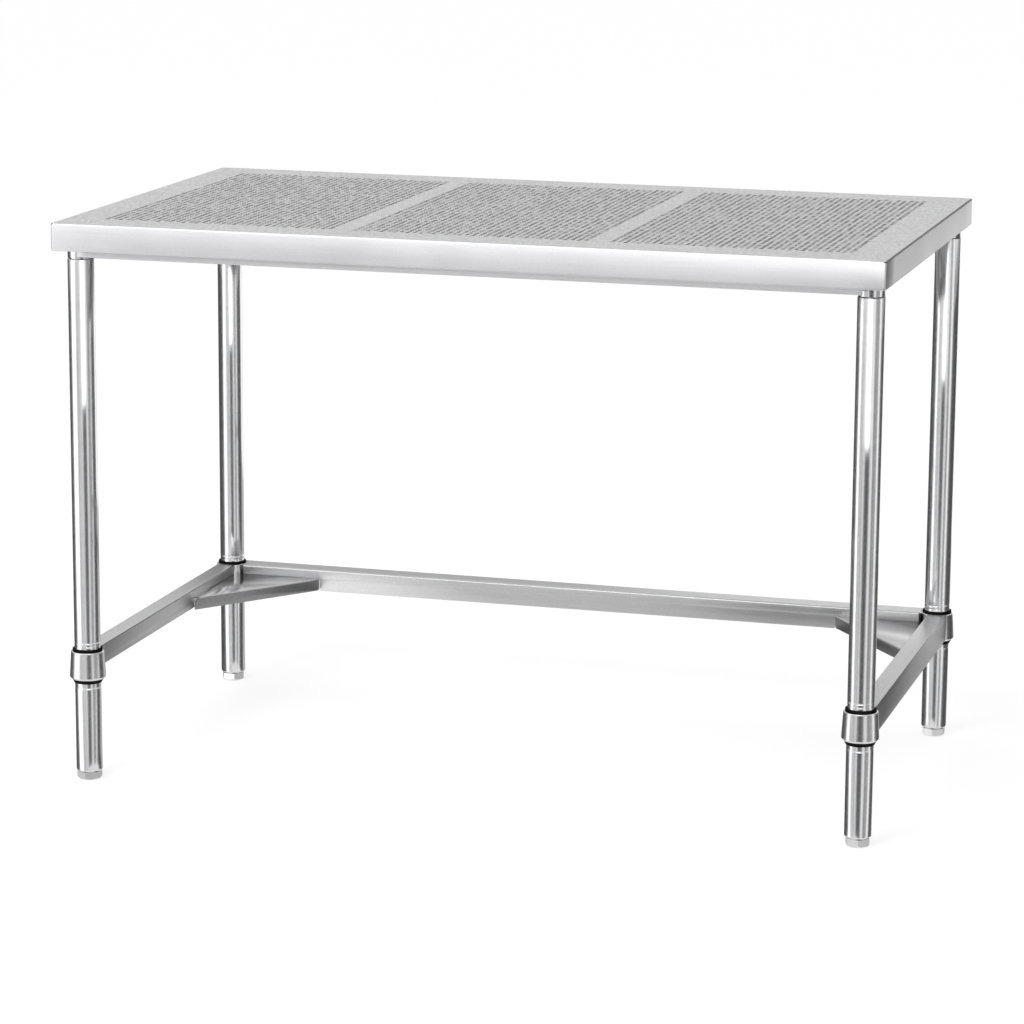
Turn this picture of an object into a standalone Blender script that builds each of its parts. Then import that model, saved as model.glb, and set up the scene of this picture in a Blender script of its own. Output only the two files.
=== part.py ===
"""Stainless steel work table on four round legs, with a lower frame on three sides.

Metres, +Z up. The origin is on the floor under the middle of the top, +X runs along the length
and -Y is the open front.
"""

import math

import bmesh
import bpy
from mathutils import Vector

# Overall sizes
TOP_LENGTH = 1.200
TOP_DEPTH = 0.700
TABLE_HEIGHT = 0.825

# Clearance between pieces that touch, and how far a cut runs past what it cuts
FIT_GAP = 0.0003
CUT_OVERRUN = 0.004

# Tabletop, one sheet folded down into aprons that end in a return lip
TOP_SHEET = 0.0015
TOP_BEND = 0.0010
APRON_HEIGHT = 0.040
RETURN_LIP = 0.0085

# Perforated fields of the top; a plain grid of openings stands for their small round holes
FIELD_END_MARGIN = 0.058
FIELD_FRONT_MARGIN = 0.063
FIELD_STRIP = 0.032
FIELD_BAR = 0.0465
FIELD_COLUMNS = 3
FIELD_ROWS = 5

# Stiffening channels under the top
STIFFENER_SHEET = 0.0015
STIFFENER_BEND = 0.0015
EDGE_STIFFENER_SETBACK = 0.015
EDGE_STIFFENER_WIDTH = 0.045
EDGE_STIFFENER_DROP = 0.010
EDGE_STIFFENER_FLANGE = 0.008
CROSS_STIFFENER_WIDTH = 0.020
CROSS_STIFFENER_HEIGHT = 0.025
CROSS_STIFFENER_FLANGE = 0.006

# Leg tubes
LEG_INSET_X = 0.0275
LEG_INSET_Y = 0.0445
LEG_DIAMETER = 0.0381
LEG_WALL = 0.0012
LEG_TOP_DROP = 0.055
LEG_END_TAPER = 0.003
LEG_GROOVE_WIDTH = 0.0018
LEG_GROOVE_DEPTH = 0.0006
LEG_RING_DEPTH = 0.0003
LOWER_GROOVE_DROP = 0.0133
FAINT_RING_RISE = 0.007
UPPER_GROOVE_RISE = 0.012

# Sockets that carry the legs under the top
SOCKET_PLATE_THICKNESS = 0.004
SOCKET_PLATE_DEPTH = 0.070
SOCKET_PLATE_MARGIN = 0.0006
SPIGOT_WALL = 0.0025
SPIGOT_REACH = 0.060
SPIGOT_LEAD = 0.002

# Tapered sleeves and the collars wedged on them
COLLAR_RIM_DROP = 0.0009
COLLAR_LENGTH = 0.0412
COLLAR_TOP_WALL = 0.0029
COLLAR_LOW_WALL = 0.00335
COLLAR_CHAMFER_TALL = 0.003
COLLAR_CHAMFER_IN = 0.0025
SLEEVE_TOP_WALL = 0.0016
SLEEVE_LOW_WALL = 0.0035
SLEEVE_TAIL = 0.006
SLEEVE_TAIL_WALL = 0.0008
SLEEVE_RIDGE = 0.0005
SLEEVE_RIDGE_WIDTH = 0.004
SLEEVE_SPLIT = 0.0006

# Lower rails, channels with their open side down
RAIL_SHEET = 0.0015
RAIL_BEND = 0.0010
RAIL_TOP_HEIGHT = 0.1944
SIDE_RAIL_OUTSIDE = 0.0174
SIDE_RAIL_INSIDE = 0.0111
SIDE_RAIL_OUTER_DROP = 0.0394
SIDE_RAIL_INNER_DROP = 0.0290
SIDE_NOTCH_LENGTH = 0.006
SIDE_NOTCH_RISE = 0.0045
BACK_RAIL_WIDTH = 0.036
BACK_RAIL_REAR_DROP = 0.0394
BACK_FLANGE_INSET = 0.025
BACK_STIFFENER_DROP = 0.0344
BACK_STIFFENER_END_GAP = 0.003

# Gusset plates in the two rear corners
GUSSET_SHEET = 0.002
GUSSET_BEND = 0.002
GUSSET_DROP = 0.0164
GUSSET_FOLD_DROP = 0.0165
GUSSET_SIDE_REACH = 0.2015
GUSSET_BACK_REACH = 0.152
GUSSET_TOP_CORNER = 0.008
GUSSET_LOW_CORNER = 0.003

# Adjusters at the leg ends
FOOT_HEIGHT = 0.0122
HEX_ACROSS_FLATS = 0.032
HEX_CHAMFER = 0.0022
HEX_LIFT = 0.001
PAD_DIAMETER = 0.025
PAD_THICKNESS = 0.003
PAD_EDGE = 0.0006
STUD_DIAMETER = 0.016
STUD_LENGTH = 0.045
STUD_ROOT = 0.004
STUD_LEAD = 0.0015
INSERT_LENGTH = 0.030
INSERT_LEAD = 0.0015
FOOT_TURNS = {"front_left": -31.0, "front_right": 44.0, "rear_left": -6.0, "rear_right": 32.0}

# Fineness of round shapes
ROUND_STEPS = 24
SMALL_ROUND_STEPS = 16
BEND_STEPS = 3
CORNER_STEPS = 6
SMOOTH_ANGLE = math.radians(32.0)

# Places worked out from the sizes
FIELD_LENGTH = (TOP_LENGTH - 2 * FIELD_END_MARGIN - 2 * FIELD_STRIP) / 3
FIELD_DEPTH = TOP_DEPTH - 2 * FIELD_FRONT_MARGIN
FIELD_SPACING = FIELD_LENGTH + FIELD_STRIP
LEG_RADIUS = LEG_DIAMETER / 2
LEG_X = TOP_LENGTH / 2 - LEG_INSET_X
LEG_Y = TOP_DEPTH / 2 - LEG_INSET_Y
LEG_TOP = TABLE_HEIGHT - LEG_TOP_DROP
LEG_BOTTOM = FOOT_HEIGHT + FIT_GAP
UNDER_TOP = TABLE_HEIGHT - TOP_SHEET - FIT_GAP
APRON_BOTTOM = TABLE_HEIGHT - APRON_HEIGHT
COLLAR_TOP = RAIL_TOP_HEIGHT - COLLAR_RIM_DROP
COLLAR_BOTTOM = COLLAR_TOP - COLLAR_LENGTH
GUSSET_TOP = RAIL_TOP_HEIGHT - GUSSET_DROP
SLEEVE_BORE = LEG_RADIUS + FIT_GAP
CORNERS = {
    "front_left": (-1, -1),
    "front_right": (1, -1),
    "rear_left": (-1, 1),
    "rear_right": (1, 1),
}

STEEL_COLOUR = (0.74, 0.74, 0.75, 1.0)
DARK_STEEL_COLOUR = (0.62, 0.62, 0.63, 1.0)
BLACK_COLOUR = (0.012, 0.012, 0.013, 1.0)
PAD_COLOUR = (0.05, 0.05, 0.052, 1.0)


def make_material(name, colour, roughness, metallic):
    material = bpy.data.materials.new(name)
    material.use_nodes = True
    shader = material.node_tree.nodes["Principled BSDF"]
    shader.inputs["Base Color"].default_value = colour
    shader.inputs["Roughness"].default_value = roughness
    shader.inputs["Metallic"].default_value = metallic
    material.diffuse_color = colour
    return material


def brushed_steel(name):
    return make_material(name + "_steel", STEEL_COLOUR, 0.32, 1.0)


def turned_steel(name):
    return make_material(name + "_turned_steel", DARK_STEEL_COLOUR, 0.38, 1.0)


def black_plastic(name):
    return make_material(name + "_plastic", BLACK_COLOUR, 0.45, 0.0)


def finish_mesh(bm, name, material):
    """Write a bmesh to a named mesh with outward faces, smooth rounds and one material."""
    bmesh.ops.recalc_face_normals(bm, faces=bm.faces)
    mesh = bpy.data.meshes.new(name)
    bm.to_mesh(mesh)
    bm.free()
    mesh.materials.append(material)
    mesh.shade_smooth()
    mesh.set_sharp_from_angle(angle=SMOOTH_ANGLE)
    return mesh


def add_object(name, mesh, location=(0, 0, 0)):
    piece = bpy.data.objects.new(name, mesh)
    piece.location = location
    bpy.context.scene.collection.objects.link(piece)
    return piece


def hide_cutter(cutter):
    cutter.hide_render = True
    cutter.display_type = "WIRE"
    return cutter


def add_boolean(piece, tool, operation="DIFFERENCE"):
    modifier = piece.modifiers.new(tool.name, "BOOLEAN")
    modifier.operation = operation
    modifier.object = tool
    modifier.solver = "EXACT"


def folded_outline(path, sheet, bend_radius):
    """Closed outline of a sheet that is folded along its middle line."""
    half = sheet / 2
    left = []
    right = []

    def add_end(point, direction):
        normal = Vector((-direction.y, direction.x))
        left.append(point + normal * half)
        right.append(point - normal * half)

    add_end(path[0], (path[1] - path[0]).normalized())
    for before, corner, after in zip(path, path[1:], path[2:]):
        into = (corner - before).normalized()
        out = (after - corner).normalized()
        side = math.copysign(1.0, into.x * out.y - into.y * out.x)
        angle = math.acos(into.dot(out))
        inward = Vector((-into.y, into.x)) * side
        middle = bend_radius + half
        centre = corner - into * middle * math.tan(angle / 2) + inward * middle
        first = math.atan2(-inward.y, -inward.x)
        for step in range(BEND_STEPS + 1):
            around = first + side * angle * step / BEND_STEPS
            ray = Vector((math.cos(around), math.sin(around)))
            inner = centre + ray * bend_radius
            outer = centre + ray * (bend_radius + sheet)
            left.append(inner if side > 0 else outer)
            right.append(outer if side > 0 else inner)
    add_end(path[-1], (path[-1] - path[-2]).normalized())
    return left + right[::-1]


def add_bars(bm, outline, start, end, place):
    """Add an outline that is extruded from start to end, each point set by place."""
    rings = []
    for run in (start, end):
        rings.append([bm.verts.new(place(point, run)) for point in outline])
    first, last = rings
    bm.faces.new(first)
    bm.faces.new(last[::-1])
    for index in range(len(outline)):
        following = (index + 1) % len(outline)
        bm.faces.new((first[following], first[index], last[index], last[following]))


def along_x(point, run):
    return (run, point.x, point.y)


def along_y(point, run):
    return (point.x, run, point.y)


def along_z(point, run):
    return (point.x, point.y, run)


def bar_mesh(name, outline, start, end, place, material):
    bm = bmesh.new()
    add_bars(bm, outline, start, end, place)
    return finish_mesh(bm, name, material)


def box_outline(low_u, high_u, low_v, high_v):
    return [
        Vector((low_u, low_v)),
        Vector((high_u, low_v)),
        Vector((high_u, high_v)),
        Vector((low_u, high_v)),
    ]


def turned_columns(bm, profile, angles):
    columns = []
    for angle in angles:
        column = [
            bm.verts.new((radius * math.cos(angle), radius * math.sin(angle), height))
            for radius, height in profile
        ]
        columns.append(column)
    return columns


def join_columns(bm, near, far, wrap):
    count = len(near)
    for index in range(count if wrap else count - 1):
        following = (index + 1) % count
        bm.faces.new((near[index], far[index], far[following], near[following]))


def add_ring(bm, profile, steps):
    """Add a hollow turned piece whose profile is a closed loop of radius and height."""
    angles = [math.tau * step / steps for step in range(steps)]
    columns = turned_columns(bm, profile, angles)
    for near, far in zip(columns, columns[1:] + columns[:1]):
        join_columns(bm, near, far, True)


def add_plug(bm, profile, steps):
    """Add a solid turned piece whose profile runs from its lower face to its upper face."""
    angles = [math.tau * step / steps for step in range(steps)]
    columns = turned_columns(bm, profile, angles)
    for near, far in zip(columns, columns[1:] + columns[:1]):
        join_columns(bm, near, far, False)
    bm.faces.new([column[0] for column in columns])
    bm.faces.new([column[-1] for column in columns][::-1])


def ring_mesh(name, profile, steps, material):
    bm = bmesh.new()
    add_ring(bm, profile, steps)
    return finish_mesh(bm, name, material)


def half_ring_mesh(name, profile, steps, start, slit_angle, material):
    """A ring cut in half along its length, with a slit left on each side."""
    bm = bmesh.new()
    sweep = math.pi - 2 * slit_angle
    count = steps // 2
    angles = [start + slit_angle + sweep * step / count for step in range(count + 1)]
    columns = turned_columns(bm, profile, angles)
    for near, far in zip(columns, columns[1:]):
        join_columns(bm, near, far, True)
    bm.faces.new(columns[0])
    bm.faces.new(columns[-1][::-1])
    return finish_mesh(bm, name, material)


# Tabletop
def make_tabletop():
    """One folded sheet: top face, four aprons and the return lips under them."""
    half = TOP_SHEET / 2
    path = [
        Vector((RETURN_LIP, TABLE_HEIGHT - half)),
        Vector((half, TABLE_HEIGHT - half)),
        Vector((half, APRON_BOTTOM + half)),
        Vector((RETURN_LIP, APRON_BOTTOM + half)),
    ]
    bm = bmesh.new()
    rings = []
    for inset, height in folded_outline(path, TOP_SHEET, TOP_BEND):
        reach_x = TOP_LENGTH / 2 - inset
        reach_y = TOP_DEPTH / 2 - inset
        ring = [
            bm.verts.new((side_x * reach_x, side_y * reach_y, height))
            for side_x, side_y in ((-1, -1), (1, -1), (1, 1), (-1, 1))
        ]
        rings.append(ring)
    for near, far in zip(rings, rings[1:]):
        join_columns(bm, near, far, True)
    bm.faces.new(rings[0])
    bm.faces.new(rings[-1][::-1])
    tabletop = add_object("tabletop", finish_mesh(bm, "tabletop", brushed_steel("tabletop")))
    add_boolean(tabletop, make_field_openings())


def make_field_openings():
    """Cutter: the openings of the three perforated fields."""
    low = TABLE_HEIGHT - TOP_SHEET - CUT_OVERRUN
    high = TABLE_HEIGHT + CUT_OVERRUN
    pitch_x = FIELD_LENGTH / FIELD_COLUMNS
    pitch_y = FIELD_DEPTH / FIELD_ROWS
    gap = FIELD_BAR / 2
    bm = bmesh.new()
    for field in (-1, 0, 1):
        for column in range(FIELD_COLUMNS):
            for row in range(FIELD_ROWS):
                left = field * FIELD_SPACING - FIELD_LENGTH / 2 + column * pitch_x + gap
                front = row * pitch_y - FIELD_DEPTH / 2 + gap
                right = left + pitch_x - FIELD_BAR
                rear = front + pitch_y - FIELD_BAR
                outline = box_outline(left, right, front, rear)
                add_bars(bm, outline, low, high, along_z)
    mesh = finish_mesh(bm, "field_openings", brushed_steel("field_openings"))
    return hide_cutter(add_object("field_openings", mesh))


# Channels under the top
def make_edge_stiffener(name, side):
    """A channel behind the front or rear apron, open upward, with its flanges under the top."""
    half = STIFFENER_SHEET / 2
    outer = TOP_DEPTH / 2 - EDGE_STIFFENER_SETBACK - half
    inner = outer - EDGE_STIFFENER_WIDTH + STIFFENER_SHEET
    top = UNDER_TOP - half
    bottom = APRON_BOTTOM - EDGE_STIFFENER_DROP + half
    path = [
        Vector((side * (outer + EDGE_STIFFENER_FLANGE), top)),
        Vector((side * outer, top)),
        Vector((side * outer, bottom)),
        Vector((side * inner, bottom)),
        Vector((side * inner, top)),
        Vector((side * (inner + EDGE_STIFFENER_FLANGE), top)),
    ]
    outline = folded_outline(path, STIFFENER_SHEET, STIFFENER_BEND)
    reach = LEG_X - LEG_RADIUS
    mesh = bar_mesh(name, outline, -reach, reach, along_x, brushed_steel(name))
    add_object(name, mesh)


def make_cross_stiffener(name, side):
    """A channel under a plain strip between two perforated fields, from front to rear."""
    half = STIFFENER_SHEET / 2
    middle = side * FIELD_SPACING / 2
    reach = CROSS_STIFFENER_WIDTH / 2 - half
    top = UNDER_TOP - half
    bottom = UNDER_TOP - CROSS_STIFFENER_HEIGHT + half
    path = [
        Vector((middle - reach - CROSS_STIFFENER_FLANGE, top)),
        Vector((middle - reach, top)),
        Vector((middle - reach, bottom)),
        Vector((middle + reach, bottom)),
        Vector((middle + reach, top)),
        Vector((middle + reach + CROSS_STIFFENER_FLANGE, top)),
    ]
    outline = folded_outline(path, STIFFENER_SHEET, STIFFENER_BEND)
    run = TOP_DEPTH / 2 - EDGE_STIFFENER_SETBACK - EDGE_STIFFENER_WIDTH - FIT_GAP
    mesh = bar_mesh(name, outline, -run, run, along_y, brushed_steel(name))
    add_object(name, mesh)


# Sockets
def make_socket_plate(corner, side_x, side_y):
    """A rectangular plate under the top, between the stiffener's end and the end apron."""
    name = "socket_plate_" + corner
    inner = LEG_X - LEG_RADIUS + SOCKET_PLATE_MARGIN
    outer = TOP_LENGTH / 2 - TOP_SHEET - SOCKET_PLATE_MARGIN
    low_x, high_x = sorted((side_x * inner, side_x * outer))
    middle = side_y * LEG_Y
    reach = SOCKET_PLATE_DEPTH / 2
    outline = box_outline(low_x, high_x, middle - reach, middle + reach)
    bottom = UNDER_TOP - SOCKET_PLATE_THICKNESS
    mesh = bar_mesh(name, outline, bottom, UNDER_TOP, along_z, brushed_steel(name))
    add_object(name, mesh)


def spigot_mesh():
    radius = LEG_RADIUS - LEG_WALL - FIT_GAP
    bore = radius - SPIGOT_WALL
    bottom = LEG_TOP - SPIGOT_REACH
    top = UNDER_TOP - SOCKET_PLATE_THICKNESS - FIT_GAP
    lead = SPIGOT_LEAD / 2
    profile = [
        (bore, bottom),
        (radius - lead, bottom),
        (radius, bottom + SPIGOT_LEAD),
        (radius, top),
        (bore, top),
    ]
    return ring_mesh("socket_spigot", profile, ROUND_STEPS, turned_steel("socket_spigot"))


# Legs
def groove_points(radius, middle, width, depth):
    half = width / 2
    return [(radius, middle - half), (radius - depth, middle), (radius, middle + half)]


def leg_mesh():
    """A tube with rolled rings, its lower end drawn in over the adjuster's insert."""
    bore = LEG_RADIUS - LEG_WALL
    seat = (COLLAR_BOTTOM + COLLAR_TOP) / 2
    groove = LEG_GROOVE_WIDTH
    ridge_seat = SLEEVE_RIDGE_WIDTH + 2 * FIT_GAP
    edge = LEG_WALL / 3
    profile = [
        (LEG_RADIUS - LEG_END_TAPER, LEG_BOTTOM),
        (LEG_RADIUS, LEG_BOTTOM + LEG_END_TAPER),
        *groove_points(LEG_RADIUS, COLLAR_BOTTOM - LOWER_GROOVE_DROP, groove, LEG_GROOVE_DEPTH),
        *groove_points(LEG_RADIUS, seat, ridge_seat, SLEEVE_RIDGE),
        *groove_points(LEG_RADIUS, COLLAR_TOP + FAINT_RING_RISE, groove, LEG_RING_DEPTH),
        *groove_points(LEG_RADIUS, COLLAR_TOP + UPPER_GROOVE_RISE, groove, LEG_GROOVE_DEPTH),
        (LEG_RADIUS, LEG_TOP - edge),
        (LEG_RADIUS - edge, LEG_TOP),
        (bore, LEG_TOP),
        (bore, LEG_BOTTOM + LEG_END_TAPER + LEG_WALL),
        (bore - LEG_END_TAPER, LEG_BOTTOM + LEG_WALL),
        (bore - LEG_END_TAPER, LEG_BOTTOM),
    ]
    return ring_mesh("leg", profile, ROUND_STEPS, brushed_steel("leg"))


# Collars and sleeves
def sleeve_radius(height):
    """Outer radius of the sleeve's cone at a height."""
    share = (height - COLLAR_BOTTOM) / COLLAR_LENGTH
    wall = SLEEVE_LOW_WALL + (SLEEVE_TOP_WALL - SLEEVE_LOW_WALL) * share
    return SLEEVE_BORE + wall


def collar_radius(height):
    """Outer radius of the collar's cone at a height."""
    low = COLLAR_BOTTOM + COLLAR_CHAMFER_TALL
    share = (height - low) / (COLLAR_TOP - low)
    wall = COLLAR_LOW_WALL + (COLLAR_TOP_WALL - COLLAR_LOW_WALL) * share
    return sleeve_radius(height) + FIT_GAP + wall


def sleeve_profile():
    middle = (COLLAR_BOTTOM + COLLAR_TOP) / 2
    reach = SLEEVE_RIDGE_WIDTH / 2
    bottom = COLLAR_BOTTOM - SLEEVE_TAIL
    return [
        (SLEEVE_BORE, bottom),
        (SLEEVE_BORE + SLEEVE_TAIL_WALL, bottom),
        (sleeve_radius(COLLAR_BOTTOM), COLLAR_BOTTOM - SLEEVE_TAIL / 3),
        (sleeve_radius(COLLAR_BOTTOM), COLLAR_BOTTOM),
        (sleeve_radius(COLLAR_TOP), COLLAR_TOP),
        (SLEEVE_BORE, COLLAR_TOP),
        (SLEEVE_BORE, middle + reach),
        (SLEEVE_BORE - SLEEVE_RIDGE, middle),
        (SLEEVE_BORE, middle - reach),
    ]


def sleeve_half_mesh(name, start):
    slit_angle = SLEEVE_SPLIT / 2 / SLEEVE_BORE
    material = black_plastic(name)
    return half_ring_mesh(name, sleeve_profile(), ROUND_STEPS, start, slit_angle, material)


def collar_mesh():
    low = COLLAR_BOTTOM + COLLAR_CHAMFER_TALL
    edge = COLLAR_TOP_WALL / 4
    profile = [
        (sleeve_radius(COLLAR_BOTTOM) + FIT_GAP, COLLAR_BOTTOM),
        (collar_radius(low) - COLLAR_CHAMFER_IN, COLLAR_BOTTOM),
        (collar_radius(low), low),
        (collar_radius(COLLAR_TOP - edge), COLLAR_TOP - edge),
        (collar_radius(COLLAR_TOP) - edge, COLLAR_TOP),
        (sleeve_radius(COLLAR_TOP) + FIT_GAP, COLLAR_TOP),
    ]
    return ring_mesh("collar", profile, ROUND_STEPS, brushed_steel("collar"))


def make_collar_clearance():
    """Cutter: the four collars' cones, a little larger, which the rails and gussets stop at."""
    low = COLLAR_BOTTOM - CUT_OVERRUN
    high = COLLAR_TOP + CUT_OVERRUN
    profile = [(collar_radius(low) + FIT_GAP, low), (collar_radius(high) + FIT_GAP, high)]
    bm = bmesh.new()
    for side_x, side_y in CORNERS.values():
        before = len(bm.verts)
        add_plug(bm, profile, ROUND_STEPS)
        bm.verts.ensure_lookup_table()
        moved = bm.verts[before:]
        bmesh.ops.translate(bm, verts=moved, vec=(side_x * LEG_X, side_y * LEG_Y, 0))
    mesh = finish_mesh(bm, "collar_clearance", brushed_steel("collar_clearance"))
    return hide_cutter(add_object("collar_clearance", mesh))


# Rails
def make_side_rail(name, side, collar_clearance):
    """Left or right rail, its inner flange cut back over the gusset plate."""
    half = RAIL_SHEET / 2
    outer = LEG_X + SIDE_RAIL_OUTSIDE - half
    inner = LEG_X - SIDE_RAIL_INSIDE + half
    top = RAIL_TOP_HEIGHT - half
    path = [
        Vector((side * outer, RAIL_TOP_HEIGHT - SIDE_RAIL_OUTER_DROP)),
        Vector((side * outer, top)),
        Vector((side * inner, top)),
        Vector((side * inner, RAIL_TOP_HEIGHT - SIDE_RAIL_INNER_DROP)),
    ]
    outline = folded_outline(path, RAIL_SHEET, RAIL_BEND)
    mesh = bar_mesh(name, outline, -LEG_Y, LEG_Y, along_y, brushed_steel(name))
    rail = add_object(name, mesh)
    notch = side_notch_outline()
    near = side * (LEG_X - SIDE_RAIL_INSIDE - CUT_OVERRUN)
    far = side * (LEG_X - SIDE_RAIL_INSIDE + RAIL_SHEET + CUT_OVERRUN)
    tool_name = name + "_notch"
    tool_mesh = bar_mesh(tool_name, notch, near, far, along_x, brushed_steel(tool_name))
    add_boolean(rail, hide_cutter(add_object(tool_name, tool_mesh)))
    add_boolean(rail, collar_clearance)


def side_notch_outline():
    """What is cut from a side rail's inner flange: the run over the gusset, and a V ahead of it."""
    start = LEG_Y - GUSSET_SIDE_REACH - FIT_GAP
    bottom = RAIL_TOP_HEIGHT - SIDE_RAIL_INNER_DROP
    point = bottom + SIDE_NOTCH_RISE
    roof = GUSSET_TOP + FIT_GAP
    return [
        Vector((start, bottom - CUT_OVERRUN)),
        Vector((LEG_Y + CUT_OVERRUN, bottom - CUT_OVERRUN)),
        Vector((LEG_Y + CUT_OVERRUN, roof)),
        Vector((start, roof)),
        Vector((start, point + SIDE_NOTCH_RISE)),
        Vector((start - SIDE_NOTCH_LENGTH, point)),
        Vector((start, bottom)),
    ]


def back_rail_span():
    """Front and rear faces of the rear rail, as distances along Y."""
    return LEG_Y - BACK_RAIL_WIDTH / 2, LEG_Y + BACK_RAIL_WIDTH / 2


def make_back_rail(collar_clearance):
    half = RAIL_SHEET / 2
    front, rear = back_rail_span()
    top = RAIL_TOP_HEIGHT - half
    path = [
        Vector((rear - half, RAIL_TOP_HEIGHT - BACK_RAIL_REAR_DROP)),
        Vector((rear - half, top)),
        Vector((front + half, top)),
        Vector((front + half, GUSSET_TOP + FIT_GAP)),
    ]
    outline = folded_outline(path, RAIL_SHEET, RAIL_BEND)
    mesh = bar_mesh("rear_rail", outline, -LEG_X, LEG_X, along_x, brushed_steel("rear_rail"))
    rail = add_object("rear_rail", mesh)
    near = LEG_X - BACK_FLANGE_INSET
    low = RAIL_TOP_HEIGHT - BACK_RAIL_REAR_DROP
    high = RAIL_TOP_HEIGHT - RAIL_SHEET - RAIL_BEND
    trim = box_outline(front - CUT_OVERRUN, front + RAIL_SHEET + RAIL_BEND, low, high)
    bm = bmesh.new()
    for side in (-1, 1):
        add_bars(bm, trim, side * near, side * (LEG_X + CUT_OVERRUN), along_x)
    tool_mesh = finish_mesh(bm, "rear_rail_trim", brushed_steel("rear_rail_trim"))
    add_boolean(rail, hide_cutter(add_object("rear_rail_trim", tool_mesh)))
    add_boolean(rail, collar_clearance)


def make_back_stiffener():
    """A second channel nested in the rear rail, between the two gussets."""
    name = "rear_rail_stiffener"
    half = RAIL_SHEET / 2
    front, rear = back_rail_span()
    nest = RAIL_SHEET + FIT_GAP + half
    top = RAIL_TOP_HEIGHT - nest
    bottom = RAIL_TOP_HEIGHT - BACK_STIFFENER_DROP
    path = [
        Vector((rear - nest, bottom)),
        Vector((rear - nest, top)),
        Vector((front + nest, top)),
        Vector((front + nest, bottom)),
    ]
    outline = folded_outline(path, RAIL_SHEET, RAIL_BEND)
    reach = LEG_X - GUSSET_BACK_REACH - BACK_STIFFENER_END_GAP
    mesh = bar_mesh(name, outline, -reach, reach, along_x, brushed_steel(name))
    add_object(name, mesh)


# Gussets
def make_gusset(name, side, collar_clearance):
    """A flat triangular plate between side and rear rail, its long edge folded down."""
    front, rear = back_rail_span()
    flush = LEG_X - SIDE_RAIL_INSIDE - FIT_GAP
    fold_start = Vector((side * flush, LEG_Y - GUSSET_SIDE_REACH))
    fold_end = Vector((side * (LEG_X - GUSSET_BACK_REACH), front))
    fold = (fold_end - fold_start).normalized()
    fold_length = (fold_end - fold_start).length
    turn_in = fold_start + fold * GUSSET_TOP_CORNER
    inside = RAIL_SHEET + FIT_GAP
    far_x = side * (LEG_X + SIDE_RAIL_OUTSIDE - inside)
    plate = [
        (turn_in.x, turn_in.y, GUSSET_TOP),
        (far_x, turn_in.y, GUSSET_TOP),
        (far_x, rear - inside, GUSSET_TOP),
        (fold_end.x, rear - inside, GUSSET_TOP),
        (fold_end.x, fold_end.y, GUSSET_TOP),
    ]
    lip = []
    for step in range(1, CORNER_STEPS + 1):
        around = math.pi / 2 * (1 + step / CORNER_STEPS)
        along = GUSSET_TOP_CORNER * (1 + math.cos(around))
        drop = GUSSET_TOP_CORNER * (1 - math.sin(around))
        lip.append((along, drop))
    lip.append((0, GUSSET_FOLD_DROP))
    for step in range(CORNER_STEPS + 1):
        around = math.pi / 2 * step / CORNER_STEPS
        along = fold_length - GUSSET_LOW_CORNER * (1 - math.sin(around))
        drop = GUSSET_FOLD_DROP - GUSSET_LOW_CORNER * (1 - math.cos(around))
        lip.append((along, drop))

    bm = bmesh.new()
    plate_verts = [bm.verts.new(point) for point in plate]
    lip_verts = []
    for along, drop in lip:
        point = fold_start + fold * along
        lip_verts.append(bm.verts.new((point.x, point.y, GUSSET_TOP - drop)))
    top_face = bm.faces.new(plate_verts)
    bm.faces.new([plate_verts[0]] + lip_verts + [plate_verts[-1]])
    bmesh.ops.recalc_face_normals(bm, faces=bm.faces)
    if top_face.normal.z < 0:
        bmesh.ops.reverse_faces(bm, faces=bm.faces)
    fold_edge = bm.edges.get((plate_verts[0], plate_verts[-1]))
    bmesh.ops.bevel(
        bm, geom=[fold_edge], offset=GUSSET_BEND, offset_type="OFFSET",
        segments=BEND_STEPS, profile=0.5, affect="EDGES",
    )
    mesh = bpy.data.meshes.new(name)
    bm.to_mesh(mesh)
    bm.free()
    mesh.materials.append(brushed_steel(name))
    gusset = add_object(name, mesh)
    thickness = gusset.modifiers.new("sheet", "SOLIDIFY")
    thickness.thickness = GUSSET_SHEET
    thickness.offset = -1.0
    thickness.use_even_offset = True
    add_boolean(gusset, collar_clearance)


# Adjusters
def insert_mesh():
    """Threaded plug fixed in the leg's lower end; the thread is drawn as its plain bore."""
    radius = LEG_RADIUS - LEG_WALL - FIT_GAP
    bore = STUD_DIAMETER / 2 + FIT_GAP
    bottom = LEG_BOTTOM + LEG_END_TAPER + LEG_WALL + FIT_GAP
    top = bottom + INSERT_LENGTH
    profile = [
        (bore, bottom),
        (radius, bottom),
        (radius, top - INSERT_LEAD),
        (radius - INSERT_LEAD, top),
        (bore, top),
    ]
    return ring_mesh("leg_insert", profile, SMALL_ROUND_STEPS, turned_steel("leg_insert"))


def pad_mesh():
    radius = PAD_DIAMETER / 2
    profile = [(radius - PAD_EDGE, 0), (radius, PAD_EDGE), (radius, PAD_THICKNESS)]
    bm = bmesh.new()
    add_plug(bm, profile, SMALL_ROUND_STEPS)
    material = make_material("foot_pad_plastic", PAD_COLOUR, 0.5, 0.0)
    return finish_mesh(bm, "foot_pad", material)


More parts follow.
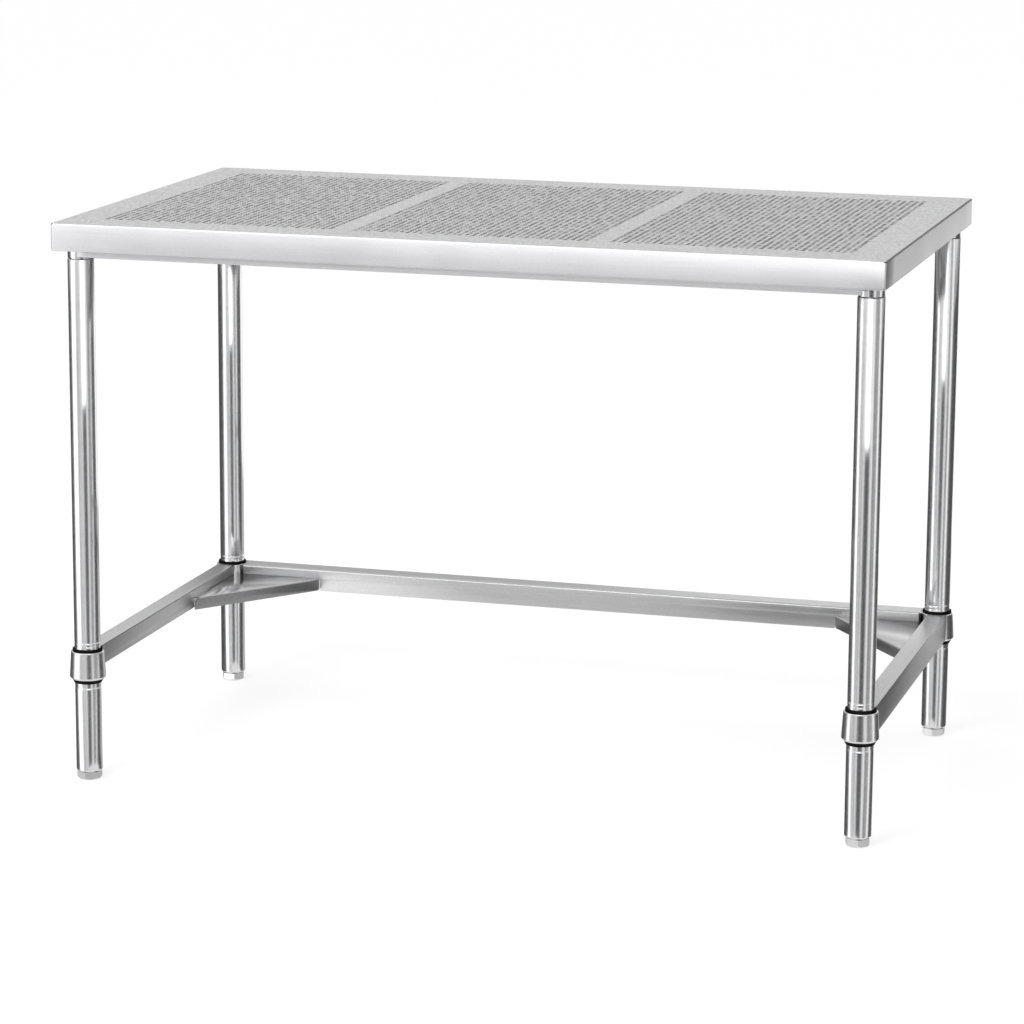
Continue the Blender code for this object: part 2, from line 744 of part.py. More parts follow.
def hex_foot_mesh():
    """Hexagonal foot, chamfered below, with a pocket for the pad under it."""
    corner_radius = HEX_ACROSS_FLATS / math.sqrt(3)
    outline = [
        Vector((corner_radius * math.cos(math.tau * step / 6),
                corner_radius * math.sin(math.tau * step / 6)))
        for step in range(6)
    ]
    bm = bmesh.new()
    add_bars(bm, outline, HEX_LIFT, FOOT_HEIGHT, along_z)
    low_edges = [
        edge for edge in bm.edges
        if all(math.isclose(vert.co.z, HEX_LIFT, rel_tol=0.01) for vert in edge.verts)
    ]
    bmesh.ops.bevel(
        bm, geom=low_edges, offset=HEX_CHAMFER, offset_type="OFFSET",
        segments=2, profile=0.5, affect="EDGES",
    )
    return finish_mesh(bm, "adjuster_foot", turned_steel("adjuster_foot"))


def stud_shape_mesh():
    radius = STUD_DIAMETER / 2
    top = FOOT_HEIGHT + STUD_LENGTH
    profile = [
        (radius, FOOT_HEIGHT - STUD_ROOT),
        (radius, top - STUD_LEAD),
        (radius - STUD_LEAD, top),
    ]
    bm = bmesh.new()
    add_plug(bm, profile, SMALL_ROUND_STEPS)
    return finish_mesh(bm, "stud_shape", turned_steel("stud_shape"))


def pocket_shape_mesh():
    radius = PAD_DIAMETER / 2 + FIT_GAP
    profile = [(radius, HEX_LIFT - CUT_OVERRUN), (radius, PAD_THICKNESS + FIT_GAP)]
    bm = bmesh.new()
    add_plug(bm, profile, SMALL_ROUND_STEPS)
    return finish_mesh(bm, "pocket_shape", turned_steel("pocket_shape"))


def make_adjuster(corner, location, meshes):
    """Foot and stud in one piece, turned about the leg's axis; its pad stays on the floor."""
    axis = bpy.data.objects.new("adjuster_axis_" + corner, None)
    axis.location = location
    axis.rotation_euler.z = math.radians(FOOT_TURNS[corner])
    bpy.context.scene.collection.objects.link(axis)
    foot = add_object("adjuster_screw_" + corner, meshes["hex_foot"])
    pad = add_object("foot_pad_" + corner, meshes["pad"])
    stud = hide_cutter(add_object("stud_shape_" + corner, meshes["stud"]))
    pocket = hide_cutter(add_object("pocket_shape_" + corner, meshes["pocket"]))
    for piece in (foot, pad, stud, pocket):
        piece.parent = axis
    add_boolean(foot, stud, "UNION")
    add_boolean(foot, pocket)


# Assembly
def clear_scene():
    for item in list(bpy.data.objects):
        bpy.data.objects.remove(item, do_unlink=True)


def make_corner_pieces():
    meshes = {
        "spigot": spigot_mesh(),
        "leg": leg_mesh(),
        "collar": collar_mesh(),
        "front_sleeve": sleeve_half_mesh("sleeve_front_half", math.pi),
        "rear_sleeve": sleeve_half_mesh("sleeve_rear_half", 0.0),
        "insert": insert_mesh(),
        "pad": pad_mesh(),
        "hex_foot": hex_foot_mesh(),
        "stud": stud_shape_mesh(),
        "pocket": pocket_shape_mesh(),
    }
    for corner, (side_x, side_y) in CORNERS.items():
        location = (side_x * LEG_X, side_y * LEG_Y, 0)
        make_socket_plate(corner, side_x, side_y)
        add_object("socket_spigot_" + corner, meshes["spigot"], location)
        add_object("leg_" + corner, meshes["leg"], location)
        add_object("collar_" + corner, meshes["collar"], location)
        add_object("sleeve_" + corner + "_front", meshes["front_sleeve"], location)
        add_object("sleeve_" + corner + "_rear", meshes["rear_sleeve"], location)
        add_object("leg_insert_" + corner, meshes["insert"], location)
        make_adjuster(corner, location, meshes)


def main():
    clear_scene()
    make_tabletop()
    make_edge_stiffener("front_stiffener", -1)
    make_edge_stiffener("rear_stiffener", 1)
    make_cross_stiffener("cross_stiffener_left", -1)
    make_cross_stiffener("cross_stiffener_right", 1)
    make_corner_pieces()
    collar_clearance = make_collar_clearance()
    make_side_rail("left_rail", -1, collar_clearance)
    make_side_rail("right_rail", 1, collar_clearance)
    make_back_rail(collar_clearance)
    make_back_stiffener()
    make_gusset("gusset_left", -1, collar_clearance)
    make_gusset("gusset_right", 1, collar_clearance)


main()
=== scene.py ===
import math

import bmesh
import bpy
from mathutils import Matrix, Vector


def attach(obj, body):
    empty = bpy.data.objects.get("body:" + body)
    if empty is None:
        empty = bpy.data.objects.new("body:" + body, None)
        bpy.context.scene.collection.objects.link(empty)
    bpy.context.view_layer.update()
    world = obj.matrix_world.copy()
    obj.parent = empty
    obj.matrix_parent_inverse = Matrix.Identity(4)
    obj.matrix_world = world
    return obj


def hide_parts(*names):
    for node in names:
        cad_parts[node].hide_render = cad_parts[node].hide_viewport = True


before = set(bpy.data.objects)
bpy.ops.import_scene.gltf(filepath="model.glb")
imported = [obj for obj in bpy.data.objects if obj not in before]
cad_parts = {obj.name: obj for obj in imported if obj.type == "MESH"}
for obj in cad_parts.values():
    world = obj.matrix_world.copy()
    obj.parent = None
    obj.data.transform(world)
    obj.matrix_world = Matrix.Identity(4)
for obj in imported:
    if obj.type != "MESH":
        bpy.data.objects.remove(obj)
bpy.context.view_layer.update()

# Sizes of the top in metres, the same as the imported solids'
TOP_LENGTH = 1.200
TOP_DEPTH = 0.700
TABLE_HEIGHT = 0.825
TOP_SHEET = 0.0015
APRON_HEIGHT = 0.040
RETURN_LIP = 0.0085
TOP_FOLD = 0.0025
CORNER_BEND = 0.0035
RELIEF_SEAM = 0.0004
FIT_GAP = 0.0003
APRON_BOTTOM = TABLE_HEIGHT - APRON_HEIGHT
UNDER_TOP = TABLE_HEIGHT - TOP_SHEET - FIT_GAP

# Perforated fields of the top
FIELDS = {"left": -1, "middle": 0, "right": 1}
FIELD_SPACING = 0.372
HOLE_RADIUS = 0.0034
HOLE_PITCH = 0.011
COLUMN_PITCH = 0.009526
FIELD_COLUMNS = 36
COLUMN_HOLES = 52
HOLE_SIDES = 12

# Channels under the top's front and rear edge
EDGE_CHANNEL_SETBACK = 0.015
EDGE_CHANNEL_WIDTH = 0.045
EDGE_CHANNEL_DROP = 0.010
EDGE_CHANNEL_FLANGE = 0.008
EDGE_CHANNEL_FOLD = 0.00225
EDGE_CHANNEL_TAB = 0.012
OUTER_FOLD_BAND = 0.0024
SOCKET_PLATE_THICKNESS = 0.004
TAB_DROP = 0.001

# Legs; a pair in a list of offsets is a step outward and a step up
LEG_X = 0.5725
LEG_Y = 0.3055
LEG_RADIUS = 0.01905
LEG_WALL = 0.0012
LEG_TOP = 0.770
LEG_BOTTOM = 0.0125
LEG_BORE = LEG_RADIUS - LEG_WALL
LEG_END = ((-0.003, 0.0), (-0.0022, 0.0006), (-0.0004, 0.0024), (0.0, 0.0036))
LEG_END_BORE = ((0.0, 0.0042), (-0.003, 0.0012), (-0.003, 0.0))
LEG_RIM = ((0.0, -0.0005), (-0.00015, -0.00015), (-0.0005, 0.0))
GROOVE_HALF_WIDTH = 0.0009
GROOVE_RUN_OUT = 0.0003
GROOVE_ROUND = ((0.15, -1.0), (0.85, -0.45), (1.0, 0.0), (0.85, 0.45), (0.15, 1.0))

# Spigots in the legs' tops
SPIGOT_STEP = 0.0004
SPIGOT_GAP = 0.0014
SPIGOT_LENGTH = 0.060
SPIGOT_WALL = 0.0025
SPIGOT_NOSE = ((-0.001, 0.0), (-0.0003, 0.001), (0.0, 0.0025))
SHOULDER_EDGE = ((-0.0004, 0.0), (-0.0001, 0.0001), (0.0, 0.0004))
WELD_BEAD = ((0.0, -0.0028), (0.0004, -0.0024), (0.0012, -0.0017), (0.0020, -0.0007), (0.0023, 0.0))

# Collars and sleeves
COLLAR_TOP = 0.1935
COLLAR_BOTTOM = 0.1523
COLLAR_WALL_LOW = 0.00335
COLLAR_WALL_TOP = 0.0029
COLLAR_CHAMFER_HEIGHT = 0.003
COLLAR_CHAMFER_DEPTH = 0.0025
SLEEVE_WALL_LOW = 0.0035
SLEEVE_WALL_TOP = 0.0016
SLEEVE_PROUD = 0.0042
SLEEVE_LIP = 0.0009
SLEEVE_TAIL = 0.006
SLEEVE_SLIT = 0.0003

# Height and depth of the rings rolled into each leg
GROOVES = (
    (COLLAR_BOTTOM - 0.0133, 0.0005),
    (COLLAR_TOP + 0.008, 0.0003),
    (COLLAR_TOP + 0.013, 0.0005),
)

# Rails
RAIL_TOP = 0.1944
RAIL_SHEET = 0.0015
RAIL_FOLD = 0.0025
RAIL_DROP = 0.0394
SIDE_RAIL_OUTSIDE = 0.0174
SIDE_RAIL_INSIDE = 0.0111
SIDE_RAIL_INNER_DROP = 0.0290
REAR_RAIL_HALF = 0.018
REAR_RAIL_CUT_BACK = 0.025
INNER_CHANNEL_DROP = 0.0344
INNER_CHANNEL_END_GAP = 0.003
WELD_DEPTH = 0.0004
NOTCH_REACH = 0.1965
NOTCH_RISE = 0.0045
NOTCH_SLANT = 0.006

# Gussets
GUSSET_TOP = RAIL_TOP - 0.0164
GUSSET_SHEET = 0.002
GUSSET_CLEARANCE = 0.0020
GUSSET_SIDE_REACH = 0.2015
GUSSET_BACK_REACH = 0.152
LIP_DROP = 0.0165
LIP_ROUND = 0.008
LIP_END_ROUND = 0.003

# Adjusters
HEX_ACROSS_FLATS = 0.032
HEX_LIFT = 0.001
HEX_SEAT_INSET = 0.0008
HEX_CHAMFER = math.radians(40.0)
FOOT_TOP = 0.0122
FOOT_EDGE = 0.0004
STUD_RADIUS = 0.0079
STUD_ROOT = 0.0069
STUD_PITCH = 0.002
THREAD_START = FOOT_TOP - STUD_PITCH - 0.0002
THREAD_TURNS = 22
THREAD_STEPS = 24
PAD_RADIUS = 0.0125
PAD_HEIGHT = 0.003

CORNERS = {
    "front_left": (-1, -1),
    "front_right": (1, -1),
    "rear_left": (-1, 1),
    "rear_right": (1, 1),
}
FOOT_TURNS = {"front_left": -31.0, "front_right": 44.0, "rear_left": -6.0, "rear_right": 32.0}

# Fineness and tolerances
ROUND_STEPS = 96
ADJUSTER_STEPS = 48
FOLD_STEPS = 5
LIP_ROUND_STEPS = 8
LIP_END_STEPS = 6
SMOOTH_ANGLE = math.radians(35.0)
BROKEN_EDGE_ANGLE = math.radians(50.0)
FLAT_LIMIT = math.cos(math.radians(2.0))
SAME_PLACE = 0.00001
ON_THE_CUT = 0.000001
NEAR_FACE = 0.0005

# The three axes, and the turn that stands a flat card up
AXES = (Vector((1, 0, 0)), Vector((0, 1, 0)), Vector((0, 0, 1)))
UPRIGHT = Matrix.Rotation(math.radians(90.0), 3, "X")

# Which of its materials a face of the top sheet takes, in the order that they are given
TOP_FACE, END_APRON, END_FOLD, FRONT_APRON = range(4)

# Steel colours, dark and light, in pairs
TOP_TONES = ((0.40, 0.40, 0.405), (0.62, 0.62, 0.625))
SHEET_TONES = ((0.47, 0.47, 0.475), (0.56, 0.56, 0.565))
# The front apron and the channels behind it: the same sheet as the end aprons, painted lighter as
# painted light on the front
FRONT_PAINTED_LIGHT_TONES = ((0.54, 0.54, 0.55), (0.61, 0.61, 0.62))
# Hole walls and the gap under each spigot's shoulder: real sheared steel, its near-black colour
# painted shade
PAINTED_SHADE_TONES = ((0.01, 0.01, 0.01), (0.44, 0.44, 0.442))
# Near-black steel on the top's end folds and corner seams: painted shade lines
END_FOLD_SHADE_TONES = ((0.04, 0.04, 0.041), (0.08, 0.08, 0.081))
# Very dark steel on the side rails' fold rounds: painted shade lines
RAIL_FOLD_SHADE_TONES = ((0.10, 0.10, 0.102), (0.18, 0.18, 0.182))
GUSSET_TONES = ((0.42, 0.42, 0.425), (0.52, 0.52, 0.525))
# The gusset's folded lip: the plate's steel painted darker, as painted shade under the plate
LIP_SHADE_TONES = ((0.27, 0.27, 0.275), (0.34, 0.34, 0.345))
TUBE_TONES = ((0.64, 0.64, 0.65), (0.74, 0.74, 0.75))
COLLAR_TONES = ((0.62, 0.62, 0.62), (0.72, 0.72, 0.72))
MACHINED_TONES = ((0.66, 0.66, 0.66), (0.80, 0.80, 0.795))

# Plastic colours, dark and light, in pairs
SLEEVE_TONES = ((0.003, 0.003, 0.003), (0.008, 0.008, 0.008))
PAD_TONES = ((0.018, 0.018, 0.019), (0.034, 0.034, 0.036))

# How fine each pattern is, along X, Y and Z, or along the grain and across it
HAIR_LINES = (14.0, 1500.0)
LONG_STREAKS = (3.0, 220.0)
SPECKLE = (620.0, 620.0, 620.0)
SMUDGES = (9.0, 9.0, 9.0)
MOTTLE = (250.0, 100.0, 250.0)
HOLE_BY_HOLE = (130.0, 62.0, 30.0)
SHEAR_SCORES = (2400.0, 2400.0, 300.0)
DRAWN_LINES = (1400.0, 1400.0, 5.0)
POLISH_BANDS = (4.0, 4.0, 130.0)
HANDLING_MARKS = (26.0, 26.0, 9.0)
MOULD_TEXTURE = (2200.0, 2200.0, 2200.0)
GLOSS_PATCHES = (60.0, 60.0, 60.0)
NOISE_ROUGHNESS = 0.55

# Studio
WHITE = (1.0, 1.0, 1.0, 1.0)
FLOOR_COLOUR = (0.94, 0.94, 0.94, 1.0)
FLOOR_SIZE = 40.0
FLOOR_GLOW = 1.08
FLOOR_GLOW_SHARE = 0.6
WORLD_LIGHT = 0.92
WALL_LEVEL = 0.10
WALL_RADIUS = 3.6
LAMP_AIM = Vector((0, 0, 0.4))

# The dark wall all round and the lighter band above it: lowest, highest, level
WALLS = {
    "studio_wall": (-2.2, 0.85, WALL_LEVEL),
    "studio_wall_top": (0.85, 1.12, 0.45),
}

# Cards that the steel reflects: x, y, width, lowest, highest, level, soft share of the width
CARDS = {
    "back_card": (0.50, 2.40, 2.20, -0.2, 0.70, 1.45, 0.12),
    "back_low_card": (0.50, 2.40, 2.20, -1.2, -0.2, 0.70, 0.12),
    "high_front_card": (0.0, -2.72, 3.20, 0.50, 1.9, 1.4, 0.12),
    "high_right_card": (0.65, -2.62, 2.00, 0.52, 1.9, 3.1, 0.2),
    "left_softbox": (-1.56, -1.04, 1.15, -1.4, 2.2, 2.0, 0.15),
    "left_front_card": (-0.85, -1.9, 0.90, -1.6, 2.2, 0.8, 0.15),
    "front_card": (-0.25, -2.67, 0.75, -2.0, 2.2, 1.2, 0.15),
    "right_front_card": (2.2, -2.25, 1.40, -2.0, 2.2, 1.3, 0.35),
    "right_grey_card": (2.9, -1.1, 1.2, -2.0, 2.2, 0.5, 0.35),
    "right_softbox": (1.75, -0.16, 0.60, -1.4, 2.2, 1.6, 0.35),
}

# Place, size and watts
LAMPS = {
    "top_lamp": ((-1.2, -1.0, 3.4), (3.0, 3.0), 20.0),
    "front_lamp": ((-0.9, -3.1, 2.2), (2.2, 1.0), 65.0),
}

# The photograph's camera, found by fitting the table's corners, legs and feet
CAMERA_YAW = math.radians(15.99)
CAMERA_PITCH = math.radians(11.99)
CAMERA_ROLL = math.radians(0.36)
CAMERA_TARGET = Vector((-0.0171, 0.0, 0.3734))
CAMERA_DISTANCE = 5.655
CAMERA_LENS = 133.8
CAMERA_SENSOR = 36.0


# Shader helpers
def feed(tree, socket, value):
    """Set a socket's value, or link what feeds it."""
    if isinstance(value, Number):
        tree.links.new(value.socket, socket)
    elif isinstance(value, bpy.types.NodeSocket):
        tree.links.new(value, socket)
    else:
        socket.default_value = value


def math_node(tree, operation, *values):
    node = tree.nodes.new("ShaderNodeMath")
    node.operation = operation
    for socket, value in zip(node.inputs, values):
        feed(tree, socket, value)
    return Number(tree, node.outputs[0])


class Number:
    """A number that varies over a surface; arithmetic on it adds the Math nodes."""

    def __init__(self, tree, socket):
        self.tree = tree
        self.socket = socket

    def __add__(self, other):
        return math_node(self.tree, "ADD", self, other)

    def __radd__(self, other):
        return math_node(self.tree, "ADD", other, self)

    def __sub__(self, other):
        return math_node(self.tree, "SUBTRACT", self, other)

    def __rsub__(self, other):
        return math_node(self.tree, "SUBTRACT", other, self)

    def __mul__(self, other):
        return math_node(self.tree, "MULTIPLY", self, other)

    def __rmul__(self, other):
        return math_node(self.tree, "MULTIPLY", other, self)

    def at_least(self, other):
        return math_node(self.tree, "MAXIMUM", self, other)


class Finish:
    """A material, or the world, that is being put together."""

    def __init__(self, owner):
        owner.use_nodes = True
        self.owner = owner
        self.tree = owner.node_tree

    def add(self, kind, settings=None, **values):
        """Add a node of a kind: its settings first, then the values or links of its sockets."""
        node = self.tree.nodes.new("ShaderNode" + kind)
        for name, setting in (settings or {}).items():
            setattr(node, name, setting)
        sockets = {socket.identifier: socket for socket in node.inputs}
        for name, value in values.items():
            feed(self.tree, sockets[name], value)
        return node

    def number(self, node, output=0):
        return Number(self.tree, node.outputs[output])

    def link(self, node, socket):
        self.tree.links.new(node.outputs[0], socket)

    def mix_colour(self, share, low, high):
        """A colour between two; a colour Mix node has it on its third output."""
        settings = {"data_type": "RGBA"}
        node = self.add("Mix", settings, Factor_Float=share, A_Color=low, B_Color=high)
        return node.outputs[2]

    def spread(self, value, low, high):
        """The value's range from low to high carried to 0 to 1, and held inside it."""
        node = self.add(
            "MapRange", {"clamp": True}, Value=value,
            **{"From Min": low, "From Max": high, "To Min": 0.0, "To Max": 1.0},
        )
        return self.number(node)

    def seen(self):
        """1 for rays from the camera, off metal and through glass, which see a plain white."""
        rays = self.add("LightPath")
        seen = self.number(rays, "Is Camera Ray").at_least(self.number(rays, "Is Glossy Ray"))
        return seen.at_least(self.number(rays, "Is Transmission Ray"))


def new_finish(name):
    return Finish(bpy.data.materials.new(name))


def shader_of(finish):
    return finish.tree.nodes["Principled BSDF"]


def set_shader(finish, **values):
    """Values or links of the surface shader's sockets, by name with spaces as underscores."""
    shader = shader_of(finish)
    for name, value in values.items():
        feed(finish.tree, shader.inputs[name.replace("_", " ")], value)


def set_surface(finish, shade, tones, gloss, relief, **values):
    """A colour between two tones, roughness, and relief: a height, its strength and its depth."""
    dark, light = tones
    height, strength, depth = relief
    bump = finish.add("Bump", Strength=strength, Distance=depth, Height=height)
    colour = finish.mix_colour(shade, (*dark, 1.0), (*light, 1.0))
    set_shader(finish, Base_Color=colour, Roughness=gloss, Normal=bump.outputs[0], **values)


def noise(finish, scale, detail, turn=0.0):
    """Noise in Object coordinates that are turned about Z and stretched."""
    place = finish.add("TexCoord")
    stretched = finish.add(
        "Mapping", {"vector_type": "POINT"}, Vector=place.outputs["Object"],
        Rotation=(0.0, 0.0, turn), Scale=scale,
    )
    node = finish.add(
        "TexNoise", {"noise_dimensions": "3D"}, Vector=stretched.outputs[0], Scale=1.0,
        Detail=detail, Roughness=NOISE_ROUGHNESS,
    )
    return finish.number(node)


def grain_scale(axis, fineness):
    """Stretch for lines that run along one axis."""
    along, across = fineness
    return tuple(along if letter == axis else across for letter in "xyz")


def brushed_finish(name, axis, tones, roughness, turn=0.0, bump=0.25, mottling=0.2):
    """Brushed sheet: hair lines along an axis, fine speckle, faint long streaks and smudges."""
    finish = new_finish(name)
    lines = noise(finish, grain_scale(axis, HAIR_LINES), 4.0, turn)
    streaks = noise(finish, grain_scale(axis, LONG_STREAKS), 5.0, turn)
    speckle = noise(finish, SPECKLE, 2.0)
    smudges = noise(finish, SMUDGES, 3.0)
    mottle = noise(finish, MOTTLE, 2.0)
    grain = lines * 0.4 + streaks * 0.2 + speckle * 0.25 + smudges * 0.15
    shade = finish.spread(grain * (1.0 - mottling) + mottle * mottling, 0.40, 0.60)
    gloss = roughness + (streaks - 0.5) * 0.06 + (smudges - 0.5) * 0.08 + (lines - 0.5) * 0.06
    relief = (lines * 0.7 + speckle * 0.3, bump, 0.00004)
    set_surface(finish, shade, tones, gloss, relief, Metallic=1.0)
    return finish.owner


def painted_shade_finish(name, tones, roughness):
    """The holes' sheared walls, painted near black as the shade inside them, and the gap under each
    spigot's shoulder: some holes darker than others, and each has fine scores.
    """
    finish = new_finish(name)
    holes = noise(finish, HOLE_BY_HOLE, 0.0)
    scores = noise(finish, SHEAR_SCORES, 2.0)
    shade = finish.spread(holes * 0.9 + scores * 0.1, 0.42, 0.66)
    gloss = roughness + (scores - 0.5) * 0.1
    set_surface(finish, shade, tones, gloss, (scores, 0.3, 0.00005), Metallic=1.0)
    return finish.owner


def tube_finish(name, tones, roughness, spread_round=0.0):
    """Drawn and polished tube: fine lines along it, which spread its reflections sideways."""
    finish = new_finish(name)
    lines = noise(finish, DRAWN_LINES, 3.0)
    bands = noise(finish, POLISH_BANDS, 4.0)
    marks = noise(finish, HANDLING_MARKS, 4.0)
    shade = finish.spread(lines * 0.5 + bands * 0.2 + marks * 0.3, 0.35, 0.65)
    gloss = roughness + (bands - 0.5) * 0.03 + (marks - 0.5) * 0.02
    relief = (lines, 0.06, 0.00002)
    set_surface(finish, shade, tones, gloss, relief, Metallic=1.0, Anisotropic=spread_round)
    return finish.owner


def plastic_finish(name, tones, roughness, gloss_level):
    """Moulded plastic: a fine spark-eroded texture and a little uneven gloss."""
    finish = new_finish(name)
    texture = noise(finish, MOULD_TEXTURE, 2.0)
    patches = noise(finish, GLOSS_PATCHES, 3.0)
    shade = finish.spread(texture * 0.4 + patches * 0.6, 0.38, 0.62)
    gloss = roughness + (patches - 0.5) * 0.20
    relief = (texture, 0.25, 0.00005)
    set_surface(
        finish, shade, tones, gloss, relief, Metallic=0.0, Specular_IOR_Level=gloss_level,
    )
    return finish.owner


top_steel = brushed_finish("top_steel_brushed", "x", TOP_TONES, 0.38, mottling=0.5)
end_apron_steel = brushed_finish("end_apron_steel_brushed", "y", SHEET_TONES, 0.38)
sheet_x = brushed_finish("sheet_steel_grain_x", "x", SHEET_TONES, 0.36)
sheet_y = brushed_finish("sheet_steel_grain_y", "y", SHEET_TONES, 0.36)
# Painted shade for the holes' walls and the spigots' gaps
painted_shade_steel = painted_shade_finish("hole_and_gap_painted_shade_steel", PAINTED_SHADE_TONES, 0.5)
# End folds: painted shade, near-black steel
end_fold_painted_shade_steel = brushed_finish("end_fold_painted_shade_steel", "y", END_FOLD_SHADE_TONES, 0.34)
# Side rails' folds: painted shade, very dark steel
rail_fold_painted_shade_steel = brushed_finish("rail_fold_painted_shade_steel", "y", RAIL_FOLD_SHADE_TONES, 0.34)
# Front apron and edge channels: brushed sheet painted lighter, a painted light
front_painted_light_steel = brushed_finish("front_painted_light_steel_brushed", "x", FRONT_PAINTED_LIGHT_TONES, 0.42)
tube_steel = tube_finish("polished_tube_steel", TUBE_TONES, 0.155, 0.98)
collar_steel = tube_finish("collar_steel", COLLAR_TONES, 0.165, 0.98)
machined_steel = tube_finish("machined_steel", MACHINED_TONES, 0.40)
sleeve_plastic = plastic_finish("sleeve_plastic", SLEEVE_TONES, 0.60, 0.03)
pad_plastic = plastic_finish("pad_plastic", PAD_TONES, 0.55, 0.4)


# Mesh helpers
def new_object(name, data):
    made = bpy.data.objects.new(name, data)
    bpy.context.scene.collection.objects.link(made)
    return made


def new_mesh(name, bm, materials):
    mesh = bpy.data.meshes.new(name)
    bm.to_mesh(mesh)
    bm.free()
    for material in materials:
        mesh.materials.append(material)
    return mesh


def shells(bm):
    """The faces in groups that hang together by their edges."""
    seen = set()
    for start in bm.faces:
        if start in seen:
            continue
        seen.add(start)
        shell = [start]
        for face in shell:
            for edge in face.edges:
                for other in edge.link_faces:
                    if other not in seen:
                        seen.add(other)
                        shell.append(other)
        yield shell


def signed_volume(faces):
    """Volume inside a closed shell, negative when its faces point inward."""
    middle = faces[0].verts[0].co
    volume = 0.0
    for face in faces:
        first, *rest = [vert.co - middle for vert in face.verts]
        volume += sum(first.dot(here.cross(there)) for here, there in zip(rest, rest[1:])) / 6
    return volume


def turn_outward(bm):
    """Turn all faces outward.

    Blender's own guess can take the stud's thread for a hollow, in some runs and not in others,
    so each closed shell's volume decides.
    """
    bmesh.ops.recalc_face_normals(bm, faces=bm.faces)
    for shell in list(shells(bm)):
        closed = all(len(edge.link_faces) == 2 for face in shell for edge in face.edges)
        if closed and signed_volume(shell) < 0:
            bmesh.ops.reverse_faces(bm, faces=shell)


def finish_piece(name, bm, materials, body, node, flats=()):
    """Make a piece of a bmesh: outward faces, smooth rounds, its body and the node it replaces.

    Faces square to one of the directions in flats are shaded flat, so that a fold's round
    doesn't shade into the sheet beside it.
    """
    turn_outward(bm)
    bm.normal_update()
    for face in bm.faces:
        face.smooth = not any(abs(face.normal.dot(way)) > FLAT_LIMIT for way in flats)
    mesh = new_mesh(name, bm, materials)
    mesh.set_sharp_from_angle(angle=SMOOTH_ANGLE)
    piece = new_object(name, mesh)
    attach(piece, body)
    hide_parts(node)
    return piece


def add_sheet_thickness(piece, thickness, edge=0.0002, side=-1.0):
    """Give a folded surface its sheet thickness, inward by default, and broken cut edges."""
    wall = piece.modifiers.new("sheet", "SOLIDIFY")
    wall.thickness = thickness
    wall.offset = side
    wall.use_even_offset = True
    broken = piece.modifiers.new("broken_edges", "BEVEL")
    broken.width = edge
    broken.segments = 2
    broken.limit_method = "ANGLE"
    broken.angle_limit = BROKEN_EDGE_ANGLE


def everything(bm):
    return bm.verts[:] + bm.edges[:] + bm.faces[:]


def verts_in(geometry):
    return [item for item in geometry if isinstance(item, bmesh.types.BMVert)]


def move(bm, offset, verts=None):
    bmesh.ops.translate(bm, vec=offset, verts=bm.verts if verts is None else verts)


def extrude(bm, edges):
    """Extrude edges in place; the new vertices, and the new edges between them."""
    grown = bmesh.ops.extrude_edge_only(bm, edges=edges)["geom"]
    verts = verts_in(grown)
    new_edges = [item for item in grown if isinstance(item, bmesh.types.BMEdge)]
    return verts, [edge for edge in new_edges if all(vert in verts for vert in edge.verts)]


def bevel(bm, edges, reach, segments):
    bmesh.ops.bevel(
        bm, geom=edges, offset=reach, offset_type="OFFSET", segments=segments, profile=0.5,
        affect="EDGES", material=-1, clamp_overlap=True,
    )


def bevel_folds(bm, radius):
    bevel(bm, [edge for edge in bm.edges if len(edge.link_faces) == 2], radius, FOLD_STEPS)


def cut(bm, point, normal):
    bmesh.ops.bisect_plane(
        bm, geom=everything(bm), dist=ON_THE_CUT, plane_co=point, plane_no=normal,
    )


def add_line(bm, places, closed=False):
    """A line of vertices and its edges."""
    verts = [bm.verts.new(place) for place in places]
    edges = [bm.edges.new(pair) for pair in zip(verts, verts[1:])]
    if closed:
        edges.append(bm.edges.new((verts[-1], verts[0])))
    return verts, edges


def add_profile(bm, points, closed):
    """A line in the XZ plane, for a spin round Z."""
    verts, edges = add_line(bm, [(radius, 0.0, height) for radius, height in points], closed)
    return verts + edges


def turned(points, closed=True, steps=ROUND_STEPS):
    """A whole turned shape round Z."""
    bm = bmesh.new()
    line = add_profile(bm, points, closed)
    bmesh.ops.spin(
        bm, geom=line, cent=(0, 0, 0), axis=(0, 0, 1), dvec=(0, 0, 0), angle=math.tau,
        steps=steps, use_merge=True, use_duplicate=False,
    )
    bmesh.ops.remove_doubles(bm, verts=bm.verts, dist=SAME_PLACE)
    return bm


def offset_from(radius, height, offsets):
    return [(radius + out, height + up) for out, up in offsets]


def rounded(points, *corners):
    """The points with some corners replaced by arcs: index, radius and steps, last index first."""
    for index, radius, steps in corners:
        corner = Vector(points[index])
        before = (Vector(points[index - 1]) - corner).normalized()
        after = (Vector(points[(index + 1) % len(points)]) - corner).normalized()
        half = math.acos(max(-1.0, min(1.0, before.dot(after)))) / 2
        centre = corner + (before + after).normalized() * (radius / math.sin(half))
        first = corner + before * (radius / math.tan(half)) - centre
        sweep = math.pi - 2 * half
        turn = 1.0 if first.cross(after) > 0 else -1.0
        rays = [Matrix.Rotation(turn * sweep * step / steps, 2) @ first for step in range(steps + 1)]
        arc = [tuple(centre + ray) for ray in rays]
        points = list(points[:index]) + arc + list(points[index + 1:])
    return points


def at_corner(bm, corner):
    side_x, side_y = CORNERS[corner]
    move(bm, (side_x * LEG_X, side_y * LEG_Y, 0))


